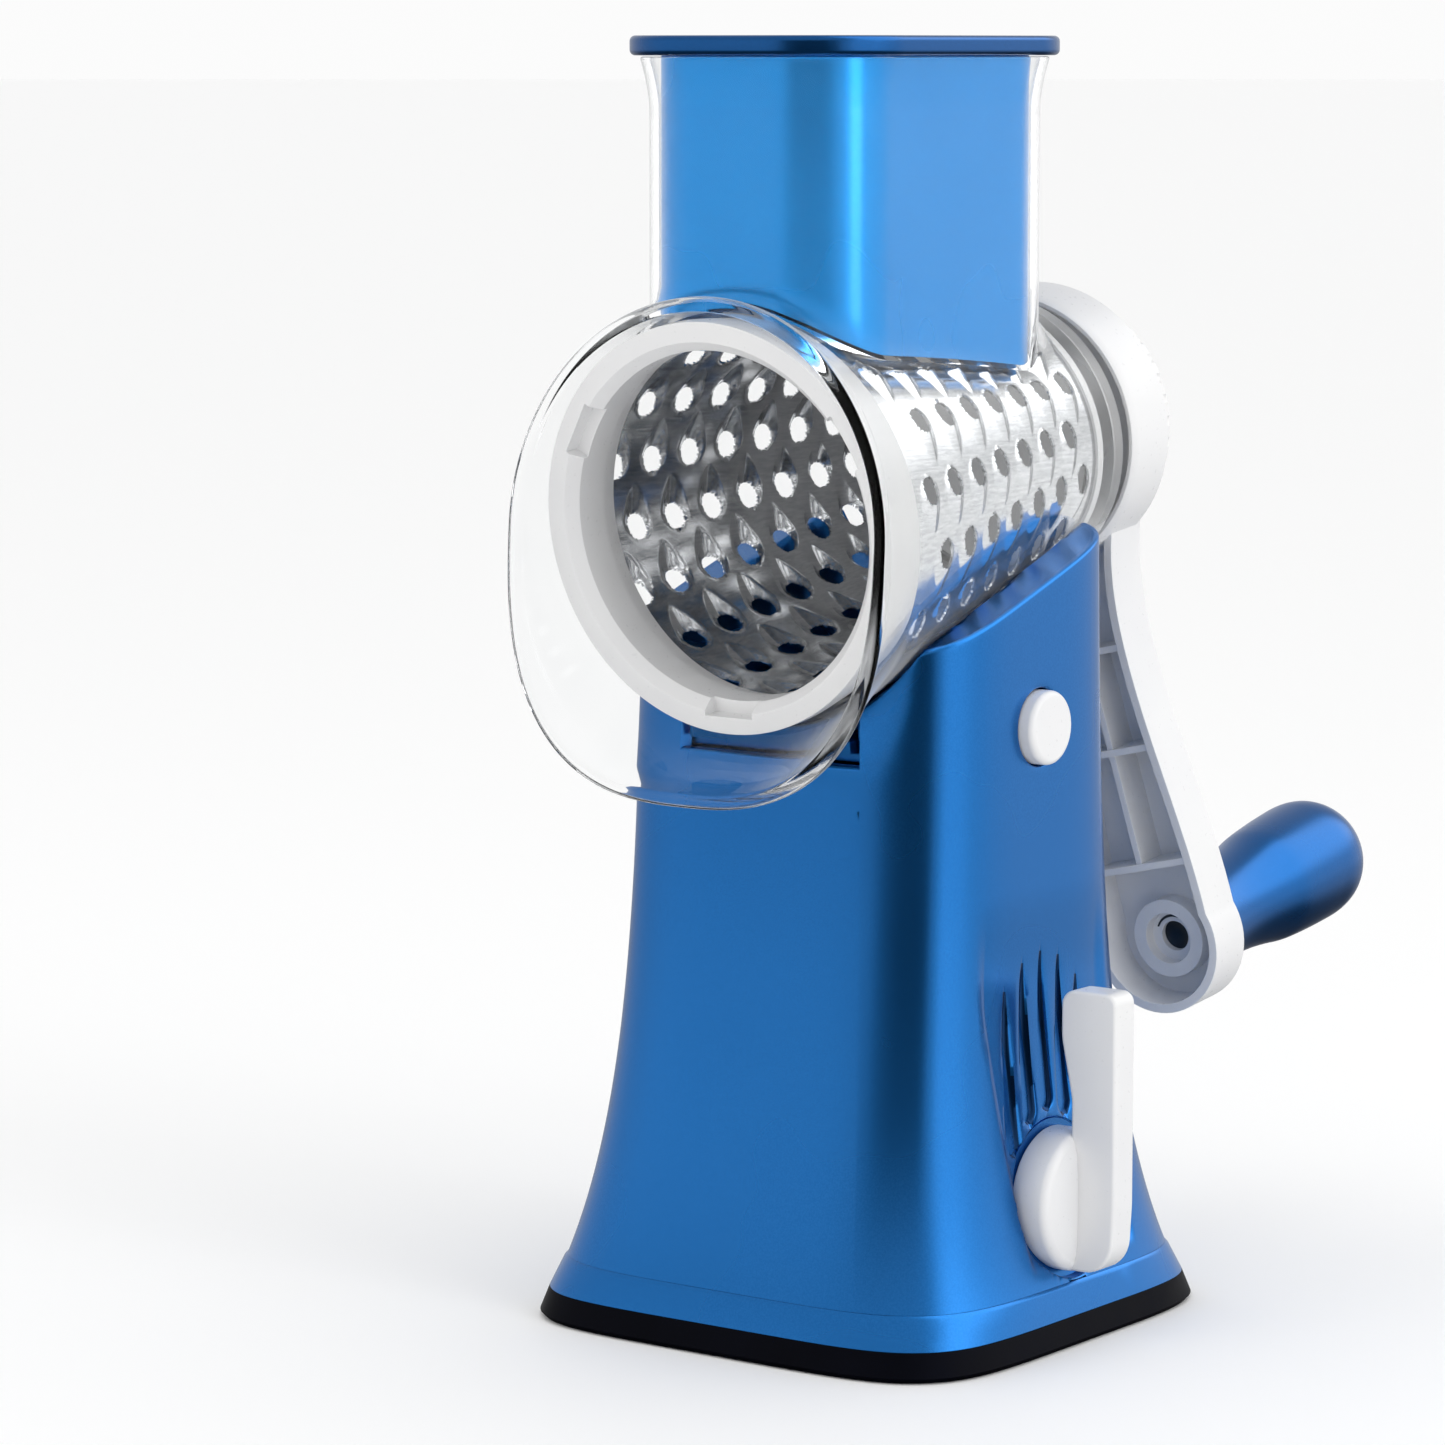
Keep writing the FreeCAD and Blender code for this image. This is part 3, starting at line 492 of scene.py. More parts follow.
def side_recess(y, z):
    """Shallow dished field in which the lever lies."""
    edge = -26.0 * MM + 0.14 * max(0.0, 0.085 - z)
    field = smoothstep(edge - 1.2 * MM, edge + 1.6 * MM, y) * smoothstep(-30 * MM, -26.5 * MM, -y)
    field *= smoothstep(19 * MM, 22 * MM, z) * (1 - smoothstep(88 * MM, 112 * MM, z))
    return 1.1 * MM * field


def sunk_pocket(bm, pocket, chamfer):
    """Round recess pressed straight in from the +X side, with a small chamfer round it."""
    y0, z0, radius, floor_x = pocket

    def spread_out(co):
        return sqrt((co.y - y0) ** 2 + (co.z - z0) ** 2)

    inside = []
    for face in bm.faces:
        centre = face.calc_center_median()
        if centre.x > 45 * MM and face.normal.x > 0.2 and spread_out(centre) < radius + chamfer:
            inside.append(face)
    bmesh.ops.delete(bm, geom=inside, context="FACES")
    rim = [edge for edge in bm.edges if edge.is_boundary and spread_out(edge.verts[0].co) < radius + 3 * MM]
    for vert in {vert for edge in rim for vert in edge.verts}:
        scale = (radius + chamfer) / spread_out(vert.co)
        vert.co.y = y0 + (vert.co.y - y0) * scale
        vert.co.z = z0 + (vert.co.z - z0) * scale
    for shrink, sink in (((radius + 0.3 * chamfer) / (radius + chamfer), -0.3 * chamfer),
                         (radius / (radius + 0.3 * chamfer), -0.7 * chamfer), (1.0, None)):
        grown = bmesh.ops.extrude_edge_only(bm, edges=rim)["geom"]
        for vert in [item for item in grown if isinstance(item, bmesh.types.BMVert)]:
            vert.co.y = y0 + (vert.co.y - y0) * shrink
            vert.co.z = z0 + (vert.co.z - z0) * shrink
            vert.co.x = floor_x if sink is None else vert.co.x + sink
        rim = [item for item in grown if isinstance(item, bmesh.types.BMEdge) and item.is_boundary]
    bmesh.ops.contextual_create(bm, geom=rim)


def pillar():
    turns = pillar_columns()
    columns = len(turns)
    in_trough = []
    for turn in turns:
        x, y = side_point(turn, SHOULDER, 0)
        in_trough.append(abs(x) < TROUGH_HALF and y < 0)
    verts = []
    lower = [BAND_TOP + k * MM for k in range(LOWER_ROWS)]
    split = lower[-1]
    tops = []
    for turn, deep in zip(turns, in_trough):
        x, y = side_point(turn, 160 * MM, 0)
        tops.append(pillar_top(x, y, deep))
    for z in lower:
        for turn in turns:
            x, y = side_point(turn, z, 0)
            if x > 0 and abs(y) < SIDE_HALF:
                hx, hy = half_sizes(z)
                y, sunk = side_shift(y, z)
                x = hx * (1 - abs(y / hy) ** CORNER_POWER) ** (1 / CORNER_POWER) - sunk - side_recess(y, z)
            verts.append((x, y, z))
    for k in range(1, UPPER_ROWS + 1):
        for turn, top in zip(turns, tops):
            z = split + (top - 0.9 * MM - split) * k / UPPER_ROWS
            verts.append((*side_point(turn, z, 0), z))
    lip = ((0.07, -0.55), (0.28, -0.25), (0.6, -0.06), (1.0, 0.0), (1.7, 0.0), (2.2, -0.15), (2.6, -0.8))
    for inset, drop in lip:
        for turn, top, deep in zip(turns, tops, in_trough):
            x, y = side_point(turn, top, inset * MM)
            verts.append((x, y, pillar_top(x, y, deep) + drop * MM))
    for k in range(1, 9):
        for turn, top in zip(turns, tops):
            z = top - 3 * MM + (BAND_TOP - top + 3 * MM) * (k / 8)
            x, y = side_point(turn, z, WALL)
            behind_button = x > 0 and abs(y) < 22 * MM and z > 115 * MM
            verts.append((*side_point(turn, z, BUTTON_WALL if behind_button else WALL), z))
    rows = len(verts) // columns
    faces = grid_faces(rows, columns, True)
    for c in range(columns):
        d = (c + 1) % columns
        faces.append((c, (rows - 1) * columns + c, (rows - 1) * columns + d, d))
    piece = new_piece("pillar", verts, faces, "stand", BLUE, ("body_shell",))
    bm = bmesh.new()
    bm.from_mesh(piece.data)
    bmesh.ops.recalc_face_normals(bm, faces=bm.faces)
    sunk_pocket(bm, LEVER_POCKET, 0.5 * MM)
    sunk_pocket(bm, BUTTON_POCKET, 0.4 * MM)
    bmesh.ops.recalc_face_normals(bm, faces=bm.faces)
    bm.to_mesh(piece.data)
    bm.free()
    even_normals(piece, 44)
    # Faces in the grooves take the darker lacquer: painted shade in the grooves.
    piece.data.materials.append(GROOVE_SHADE_BLUE)
    for polygon in piece.data.polygons:
        if polygon.normal.x > 0 and in_groove(*polygon.center):
            polygon.material_index = 1


def in_groove(x, y, z):
    nearest = round(y / GROOVE_PITCH + (GROOVES - 1) / 2)
    if x < 0 or nearest < 0 or nearest >= GROOVES:
        return False
    centre = (nearest - (GROOVES - 1) / 2) * GROOVE_PITCH
    half, depth = groove_span(centre, z)
    return depth > 0.1 * MM and abs(y - centre) < 0.97 * half


def saddle_cap():
    """The pillar's top: the slope and the saddle under the housing, open over the dock trough."""
    hx, hy = half_sizes(170 * MM)
    tuck = 1.5 * MM
    rear = TROUGH_REAR * TILT_COS + 40.0 * MM * TILT_SIN
    end = (hy - tuck) * 0.985
    trough_rows, side_count, middle = 70, 22, 24
    stations = list(np.linspace(-end, rear, trough_rows)) + list(np.linspace(rear, end, 5))[1:]
    verts, faces = [], []
    for y in stations:
        reach = (hx - tuck) * (1 - min(1.0, abs(y) / (hy - tuck)) ** CORNER_POWER) ** (1 / CORNER_POWER)
        reach = max(reach, TROUGH_HALF + 0.3 * MM)
        row = list(np.linspace(-reach, -TROUGH_HALF, side_count))
        row += list(np.linspace(-TROUGH_HALF, TROUGH_HALF, middle))[1:-1]
        row += list(np.linspace(TROUGH_HALF, reach, side_count))
        verts += [(x, y, pillar_top(x, y, False) - 0.03 * MM) for x in row]
    columns = len(verts) // len(stations)
    for r in range(len(stations) - 1):
        for c in range(columns - 1):
            over_trough = side_count - 1 <= c < columns - side_count and r < trough_rows - 1
            here, above = r * columns + c, (r + 1) * columns + c
            if not over_trough:
                faces.append((here, here + 1, above + 1, above))
    piece = new_piece("saddle_cap", verts, faces, "stand", BLUE)
    bm = bmesh.new()
    bm.from_mesh(piece.data)
    bmesh.ops.delete(bm, geom=[vert for vert in bm.verts if not vert.link_faces], context="VERTS")
    bmesh.ops.recalc_face_normals(bm, faces=bm.faces)
    if sum(face.normal.z for face in bm.faces) < 0:
        bmesh.ops.reverse_faces(bm, faces=bm.faces)
    bm.to_mesh(piece.data)
    bm.free()
    thick = piece.modifiers.new("plate", "SOLIDIFY")
    thick.thickness = 2.0 * MM
    thick.offset = -1
    apply_modifiers(piece)
    even_normals(piece, 40)


# ------------------------------------------------------------------ clear housing
CONE = (36.8 * MM, 60.0 * MM, 0.143)    # rear radius, rear station, taper
CONE_FRONT = -54.0 * MM
RIM = (-74.5 * MM, 0.19, 54.8 * MM, 62.4 * MM, 2.65)    # station, lean, radius, drop, power of the lower half
RIM_BEAD = ((-2.7, 0.0), (-2.4, 0.35), (-2.0, 0.85), (-1.5, 1.15), (-0.9, 1.2), (0.2, 1.2), (0.65, 1.05),
            (0.95, 0.6), (1.0, 0.0), (1.0, -1.4), (0.9, -1.9), (0.5, -2.2))      # forward and outward, mm
SHELL = 2.2 * MM
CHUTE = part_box("feed_chute")
CHUTE_Y = (CHUTE[0][1] + CHUTE[1][1]) / 2
FLARE_OUT = 2.2 * MM
FLARE_LENGTH = 12.0 * MM
CHUTE_LIP = 0.6 * MM        # height of the rounded upper edge
CHUTE_HALF = (CHUTE[1][0] - FLARE_OUT, (CHUTE[1][1] - CHUTE[0][1]) / 2 - FLARE_OUT)
CHUTE_CORNER = 22.0 * MM
CHUTE_FOOT = 7.5 * MM
RING_COUNT = 180


def cone_radius(w):
    if w >= CONE_FRONT:
        return CONE[0] + CONE[2] * (CONE[1] - w)
    front = CONE[0] + CONE[2] * (CONE[1] - CONE_FRONT)
    return front + (RIM[2] - front) * min(1.0, (CONE_FRONT - w) / (CONE_FRONT - RIM[0]))


def housing_ring(share, inset, forward=0.0):
    """Ring of the housing: share 0 is the cone's front circle, share 1 the deeper leaning rim."""
    front = CONE[0] + CONE[2] * (CONE[1] - CONE_FRONT)
    ring = []
    for k in range(RING_COUNT):
        turn = 2 * pi * (k + 0.5) / RING_COUNT
        circle = (front - inset) * cos(turn), (front - inset) * sin(turn)
        reach = RIM[2] - inset
        if sin(turn) < 0:
            reach = (abs(cos(turn) / (RIM[2] - inset)) ** RIM[4]
                     + abs(sin(turn) / (RIM[3] - inset)) ** RIM[4]) ** (-1 / RIM[4])
        x, v = reach * cos(turn), reach * sin(turn)
        w = RIM[0] - forward + RIM[1] * v
        ring.append(from_drum(circle[0] + (x - circle[0]) * share, CONE_FRONT + (w - CONE_FRONT) * share,
                              circle[1] + (v - circle[1]) * share))
    return ring


def round_ring(radius, w):
    turns = [2 * pi * (k + 0.5) / RING_COUNT for k in range(RING_COUNT)]
    return [from_drum(radius * cos(turn), w, radius * sin(turn)) for turn in turns]


def housing_top(x, y):
    """Height of the housing's outer surface over a point."""
    v = CONE[0]
    for _ in range(8):
        w = (y + v * TILT_SIN) / TILT_COS
        v = sqrt(max(0.0, cone_radius(w) ** 2 - x * x))
    return AXIS_POINT.z + w * TILT_SIN + v * TILT_COS


def chute_outline(grow, per_corner=22, per_side=10):
    """Points of the chute's rounded outline with their outward directions."""
    hx, hy = CHUTE_HALF[0] - CHUTE_CORNER, CHUTE_HALF[1] - CHUTE_CORNER
    points = []
    for quarter, (sx, sy) in enumerate(((1, 1), (-1, 1), (-1, -1), (1, -1))):
        for k in range(per_corner + 1):
            turn = pi / 2 * (quarter + k / per_corner)
            n = (cos(turn), sin(turn))
            points.append((sx * hx + (CHUTE_CORNER + grow) * n[0], sy * hy + (CHUTE_CORNER + grow) * n[1], n))
        nx, ny = ((-1, 1), (-1, -1), (1, -1), (1, 1))[quarter]
        n = (round(cos(pi / 2 * (quarter + 1))), round(sin(pi / 2 * (quarter + 1))))
        x0, y0 = points[-1][:2]
        x1 = nx * hx + (CHUTE_CORNER + grow) * n[0]
        y1 = ny * hy + (CHUTE_CORNER + grow) * n[1]
        for k in range(1, per_side):
            share = k / per_side
            points.append((x0 + (x1 - x0) * share, y0 + (y1 - y0) * share, n))
    return [(x, y + CHUTE_Y, n) for x, y, n in points]


def outline_ring(outline, out, z):
    """The outline moved outward and laid at a height."""
    return [(x + n[0] * out, y + n[1] * out, z) for x, y, n in outline]


def closed_solid(name, rings):
    """Closed mesh through equal rings, capped at both ends."""
    count = len(rings[0])
    verts = [point for ring in rings for point in ring]
    faces = grid_faces(len(rings), count, True)
    faces.append(tuple(range(count)))
    faces.append(tuple(reversed(range(len(verts) - count, len(verts)))))
    mesh = bpy.data.meshes.new(name)
    mesh.from_pydata([tuple(v) for v in verts], [], faces)
    solid = bpy.data.objects.new(name, mesh)
    bpy.context.scene.collection.objects.link(solid)
    outward(solid)
    return solid


def combine(piece, other, operation):
    join = piece.modifiers.new("join", "BOOLEAN")
    join.operation = operation
    join.solver = "EXACT"
    join.object = other
    apply_modifiers(piece)
    bpy.data.objects.remove(other)


def chute_plug():
    """Solid chute with a flared top and a foot that runs out onto the cone."""
    top = CHUTE[1][2]
    outline = chute_outline(0)
    rings = [outline_ring(outline, FLARE_OUT - 0.5 * MM, top),
             outline_ring(outline, FLARE_OUT - 0.1 * MM, top - 0.15 * MM)]
    for k in range(9):
        share = k / 8
        out = FLARE_OUT * (1 - share) ** 1.6
        rings.append(outline_ring(outline, out, top - CHUTE_LIP - FLARE_LENGTH * share))
    base = []
    for x, y, n in outline:
        foot = housing_top(x + CHUTE_FOOT * n[0], y + CHUTE_FOOT * n[1]) - 0.12 * MM
        base.append((housing_top(x, y), foot))
    high = top - CHUTE_LIP - FLARE_LENGTH
    for k in range(1, 6):
        rings.append([(x, y, high + (z0 + CHUTE_FOOT - high) * k / 6)
                      for (x, y, n), (z0, z1) in zip(outline, base)])
    for k in range(11):
        t = k / 10
        ring = []
        for (x, y, n), (z0, z1) in zip(outline, base):
            out = CHUTE_FOOT * t * t
            ring.append((x + n[0] * out, y + n[1] * out,
                         (1 - t) ** 2 * (z0 + CHUTE_FOOT) + 2 * t * (1 - t) * (z0 + 0.4 * MM) + t * t * z1))
        rings.append(ring)
    for out in (4.0 * MM, 0.0, -1.8 * MM):
        rings.append([(x + n[0] * out, y + n[1] * out, housing_top(x + n[0] * out, y + n[1] * out) - 1.1 * MM)
                      for x, y, n in outline])
    rings.append(outline_ring(outline, -3.2 * MM, 240 * MM))
    return closed_solid("chute_plug", rings)


def chute_hollow():
    top = CHUTE[1][2]
    outline = chute_outline(-SHELL)
    rings = [outline_ring(outline, 0, 236 * MM), outline_ring(outline, 0, 270 * MM)]
    for k in range(9):
        share = 1 - k / 8
        out = FLARE_OUT * (1 - share) ** 1.6
        rings.append(outline_ring(outline, out, top - CHUTE_LIP - FLARE_LENGTH * share))
    rings.append(outline_ring(outline, FLARE_OUT, top + 5 * MM))
    return closed_solid("chute_hollow", rings)


def clear_housing():
    rear = CONE[1]
    rings = [round_ring(CONE[0] - 0.7 * MM, rear), round_ring(CONE[0] - 0.2 * MM, rear - 0.2 * MM),
             round_ring(CONE[0] + 0.1 * MM, rear - 0.7 * MM)]
    steps = 10
    for k in range(1, steps + 1):
        w = rear + (CONE_FRONT + 2 * MM - rear) * k / steps
        rings.append(round_ring(cone_radius(w), w))
    for k in range(0, 9):
        rings.append(housing_ring(0.02 + 0.82 * k / 8, 0))
    for forward, grow in RIM_BEAD:
        rings.append(housing_ring(1.0, -grow * MM, forward * MM))
    for k in range(9):
        rings.append(housing_ring(0.97 - 0.95 * k / 8, SHELL))
    for k in range(steps + 1):
        w = CONE_FRONT + 2 * MM + (rear - 4 * MM - CONE_FRONT - 2 * MM) * k / steps
        rings.append(round_ring(cone_radius(w) - SHELL, w))
    rings += [round_ring(24 * MM, rear - 4 * MM), round_ring(24 * MM, rear)]
    count = RING_COUNT
    verts = [point for ring in rings for point in ring]
    faces = grid_faces(len(rings), count, True)
    last = (len(rings) - 1) * count
    faces += [(last + c, last + (c + 1) % count, (c + 1) % count, c) for c in range(count)]
    piece = new_piece("clear_housing", verts, faces, "head", CLEAR,
                      ("housing", "feed_chute"))
    outward(piece)
    combine(piece, chute_plug(), "UNION")
    combine(piece, chute_hollow(), "DIFFERENCE")
    for polygon in piece.data.polygons:
        polygon.use_smooth = True
    even_normals(piece, 40)


# ------------------------------------------------------------------ lever
def rounded_outline(corners, steps=8):
    """Closed outline through (a, b, radius) corners, each rounded to its radius."""
    outline = []
    for k, (a, b, radius) in enumerate(corners):
        here = Vector((a, b))
        before = (Vector(corners[k - 1][:2]) - here).normalized()
        after = (Vector(corners[(k + 1) % len(corners)][:2]) - here).normalized()
        half = before.angle(after) / 2
        if radius == 0 or abs(half - pi / 2) < 0.01:
            outline.append(here)
            continue
        reach = radius / abs(sin(half) / cos(half))
        centre = here + (before + after).normalized() * radius / sin(half)
        start, end = here + before * reach - centre, here + after * reach - centre
        sweep = start.angle_signed(end)
        for i in range(steps + 1):
            turned_start = start.copy()
            turned_start.rotate(Matrix.Rotation(-sweep * i / steps, 2))
            outline.append(centre + turned_start)
    return outline


def slab(name, outline, half, edge, place, body, material, replaces=()):
    """Flat plate over an outline, its thickness +-half and its rims rounded by edge."""
    count = len(outline)
    area = sum(outline[k - 1].x * outline[k].y - outline[k].x * outline[k - 1].y for k in range(count))
    side = 1 if area > 0 else -1
    inward = []
    for k in range(count):
        before, after = outline[k] - outline[k - 1], outline[(k + 1) % count] - outline[k]
        normal = Vector((-before.y, before.x)).normalized() + Vector((-after.y, after.x)).normalized()
        inward.append(normal.normalized() * side)
    verts = []
    steps = 5
    profile = []
    for k in range(steps + 1):
        turn = pi / 2 * k / steps
        profile.append((edge * (1 - sin(turn)), -half + edge * (1 - cos(turn))))
    profile += [(inset, -level) for inset, level in reversed(profile)]
    for inset, level in profile:
        for point, normal in zip(outline, inward):
            spot = point + normal * inset
            verts.append(place(spot.x, level, spot.y))
    faces = grid_faces(len(profile), count, True)
    faces.append(tuple(range(count)))
    faces.append(tuple(reversed(range((len(profile) - 1) * count, len(profile) * count))))
    piece = new_piece(name, verts, faces, body, material, replaces)
    outward(piece)
    even_normals(piece, 50)
    return piece


def suction_lever():
    low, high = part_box("suction_lever")
    hub_r = 17.6 * MM
    x0, x1, tip = low[0], low[0] + 11.5 * MM, high[0]
    profile = [(0.5 * MM, x0), (hub_r - 0.6 * MM, x0), (hub_r, x0 + 0.6 * MM)]
    for k in range(9):
        turn = pi / 2 * k / 8
        profile.append((hub_r - 2.8 * MM * (1 - cos(turn)), x1 - 3.4 * MM + 2.4 * MM * sin(turn)))
    for k in range(1, 9):
        radius = (hub_r - 2.8 * MM) * (1 - k / 8) + 0.4 * MM
        profile.append((radius, x1 - MM + 0.9 * MM * sqrt(max(0.0, 1 - (radius / (hub_r - 2.0 * MM)) ** 2))))
    turned("lever_hub", profile, lambda a, w, b: Vector((w, LEVER_POINT.y + a, LEVER_POINT.z + b)), "lever",
           WHITE, ("suction_lever",))
    top = high[2]
    root = x1 - 2.5 * MM
    foot = LEVER_POINT.z - hub_r + 0.6 * MM
    corners = [(root, foot, 0), (tip - 1.0 * MM, foot, 8.5 * MM),
               (tip, LEVER_POINT.z, 30 * MM), (tip, top, 3.0 * MM), (low[0] + 5.9 * MM, top, 3.8 * MM),
               (low[0] + 5.9 * MM, top - 12 * MM, 16 * MM), (root, top - 27 * MM, 16 * MM)]
    slab("lever_fin", rounded_outline(corners), 4.5 * MM, 0.9 * MM, lambda a, y, b: Vector((a, y, b)),
         "lever", WHITE)


def axle_bolt():
    """Steel pin of the grip with its recessed head in the crank's end."""
    axis = Vector(JOINTS["grip_spin"]["axis"]).normalized()
    up = Vector((1, 0, 0)).cross(axis)
    in_mm = ((0.3, -2.4), (5.0, -2.4), (5.2, -3.9), (5.7, -3.9), (6.0, -3.6), (6.0, -2.2), (4.0, -2.0),
             (4.0, 62.8), (6.2, 63.0), (6.2, 64.8), (5.9, 65.0), (0.5, 65.0))
    profile = [(radius * MM, station * MM) for radius, station in in_mm]

    def place(a, w, b):
        return GRIP_POINT + Vector((a, 0, 0)) + axis * w + up * b

    turned("axle_bolt", profile, place, "rotor", PIN_STEEL, ("knob_pin",), 64)


# ------------------------------------------------------------------ grating drum
TOOTH_ROWS = 18             # rows round the cone, each second one shifted by half a pitch
TOOTH_PITCH = 13.1 * MM
TOOTH_RISE = 1.8 * MM
TOOTH_HALF = 4.7 * MM       # half width at the mouth
TOOTH_TAIL = 9.3 * MM       # mouth to the tail's point
TOOTH_HEAD = 5.2 * MM       # mouth to the round end
MOUTH_AT = -1.7 * MM
MOUTH_HALF = 3.1 * MM
MOUTH_REACH = 3.3 * MM
SHEET = 0.5 * MM
DRUM_STEP = 0.5 * MM


def tooth_height(across, along):
    """Rise of the pressed tooth over the cone; along runs from the round end towards the tail."""
    reach = np.where(along < 0, -along / TOOTH_HEAD, along / TOOTH_TAIL)
    inside = reach < 1
    reach = np.clip(reach, 0, 1)
    half = TOOTH_HALF * np.where(along < 0, np.sqrt(1 - reach ** 2), (1 - reach) ** 0.72 * (1 + 0.25 * reach))
    crown = np.clip(1 - np.abs(across / np.maximum(half, 1e-6)) ** 1.5, 0, 1)
    ridge = np.where(along < 0, 1 - 0.72 * reach ** 1.3, (1 - reach) ** 1.15)
    return TOOTH_RISE * crown * ridge * inside


def grating_drum():
    drum = node_in_drum("drum_cone")
    radii = np.hypot(drum[:, 0], drum[:, 2])
    w0, w1 = drum[:, 1].min(), drum[:, 1].max()
    front, rear = radii[drum[:, 1] < w0 + MM].max(), radii[drum[:, 1] > w1 - MM].max()
    columns = int(2 * pi * (front + rear) / 2 / DRUM_STEP)
    rows = int((w1 - w0) / DRUM_STEP)
    w = np.linspace(w0, w1, rows)[:, None] * np.ones((1, columns))
    angle = np.linspace(0, 2 * pi, columns, endpoint=False)[None, :] * np.ones((rows, 1))
    radius = front + (rear - front) * (w - w0) / (w1 - w0)
    rise = np.zeros_like(w)
    cut = np.zeros(w.shape, bool)
    margin = 5.0 * MM
    count = int((w1 - w0 - 2 * margin) / TOOTH_PITCH)
    start = (w0 + w1) / 2 - count * TOOTH_PITCH / 2
    mouths = []
    for k in range(TOOTH_ROWS):
        centre_angle = 2 * pi * (k + 0.35) / TOOTH_ROWS
        turn = (angle - centre_angle + pi) % (2 * pi) - pi
        along = -turn * radius
        for i in range(count):
            centre = start + TOOTH_PITCH * (i + 0.25 + 0.5 * (k % 2))
            across = w - centre
            rise = np.maximum(rise, tooth_height(across, along))
            near = ((across / MOUTH_HALF) ** 2 + ((along - MOUTH_AT) / MOUTH_REACH) ** 2) < 1
            cut |= near
            mouths.append((centre, centre_angle, near))
    # vertices on a mouth's edge are drawn onto its oval
    keep = ~cut
    index = np.arange(rows * columns).reshape(rows, columns)
    for centre, centre_angle, near in mouths:
        grown = near.copy()
        grown[1:] |= near[:-1]
        grown[:-1] |= near[1:]
        grown |= np.roll(near, 1, 1) | np.roll(near, -1, 1)
        edge = grown & ~near
        rr, cc = np.nonzero(edge)
        turn = (angle[rr, cc] - centre_angle + pi) % (2 * pi) - pi
        a = (w[rr, cc] - centre) / MOUTH_HALF
        b = (-turn * radius[rr, cc] - MOUTH_AT) / MOUTH_REACH
        scale = 1 / np.maximum(np.hypot(a, b), 1e-9)
        w[rr, cc] = centre + a * scale * MOUTH_HALF
        angle[rr, cc] = centre_angle - (b * scale * MOUTH_REACH + MOUTH_AT) / radius[rr, cc]
    flat = radius + rise
    x, v = flat * np.cos(angle), flat * np.sin(angle)
    verts = [from_drum(*point) for point in zip(x.ravel(), w.ravel(), v.ravel())]
    faces = []
    for r in range(rows - 1):
        for c in range(columns):
            d = (c + 1) % columns
            if keep[r, c] and keep[r, d] and keep[r + 1, c] and keep[r + 1, d]:
                faces.append((index[r, c], index[r, d], index[r + 1, d], index[r + 1, c]))
    faces = [tuple(int(i) for i in face) for face in faces]
    piece = new_piece("grating_drum", verts, faces, "rotor", DRUM_STEEL, ("drum_cone",))
    bm = bmesh.new()
    bm.from_mesh(piece.data)
    bmesh.ops.delete(bm, geom=[vert for vert in bm.verts if not vert.link_faces], context="VERTS")
    bmesh.ops.recalc_face_normals(bm, faces=bm.faces)
    bm.to_mesh(piece.data)
    bm.free()
    thick = piece.modifiers.new("sheet", "SOLIDIFY")
    thick.thickness = SHEET
    thick.offset = -1
    apply_modifiers(piece)
    piece.data.set_sharp_from_angle(angle=radians(50))


# ------------------------------------------------------------------ camera, light and floor
VIEW_AZIMUTH = 34.8         # degrees from -Y towards +X
VIEW_DISTANCE = 1.314
VIEW_HEIGHT = 0.317
AIM_YAW = 1.61              # degrees the aim is turned away from the object's middle
AIM_PITCH = 7.3             # degrees down
FOCAL_LENGTH = 131.6
FLOOR_RADIUS = 60.0
FLOOR_SIDES = 96
WHITE_LEVEL = 0.97          # of the even background
# brightness seen in reflections: azimuth in degrees, level
OVERHEAD = ((-180, 0.42), (-60, 0.48), (60, 0.48), (95, 1.7), (165, 1.7), (180, 0.6))
UNDERSIDE = 0.06
PANELS = ((-180, 0.55), (-120, 0.45), (-75, 0.55), (-45, 0.66), (-22, 0.62), (-6, 0.10), (10, 0.03),
          (44, 0.03), (58, 0.55), (74, 1.15), (100, 1.1), (122, 0.85), (150, 0.78), (180, 0.6))


def make_camera():
    data = bpy.data.cameras.new("camera")
    data.lens = FOCAL_LENGTH
    data.sensor_width = 36.0
    data.clip_start = 0.05
    data.clip_end = 50.0
    camera = bpy.data.objects.new("camera", data)
    bpy.context.scene.collection.objects.link(camera)
    angle = radians(VIEW_AZIMUTH)
    camera.location = (sin(angle) * VIEW_DISTANCE, -cos(angle) * VIEW_DISTANCE, VIEW_HEIGHT)
    aim = radians(VIEW_AZIMUTH + AIM_YAW)
    pitch = radians(AIM_PITCH)
    forward = Vector((-sin(aim) * cos(pitch), cos(aim) * cos(pitch), -sin(pitch)))
    camera.rotation_euler = forward.to_track_quat("-Z", "Y").to_euler()
    bpy.context.scene.camera = camera


def area_light(name, azimuth, elevation, distance, width, height, power):
    """Softbox aimed at the object's middle; azimuth as the camera's."""
    data = bpy.data.lights.new(name, "AREA")
    data.shape = "RECTANGLE"
    data.size = width
    data.size_y = height
    data.energy = power
    light = bpy.data.objects.new(name, data)
    light.visible_glossy = False
    bpy.context.scene.collection.objects.link(light)
    a, e = radians(azimuth), radians(elevation)
    away = Vector((sin(a) * cos(e), -cos(a) * cos(e), sin(e)))
    light.location = Vector((0, 0, 0.16)) + away * distance
    light.rotation_euler = (-away).to_track_quat("-Z", "Y").to_euler()
    return light


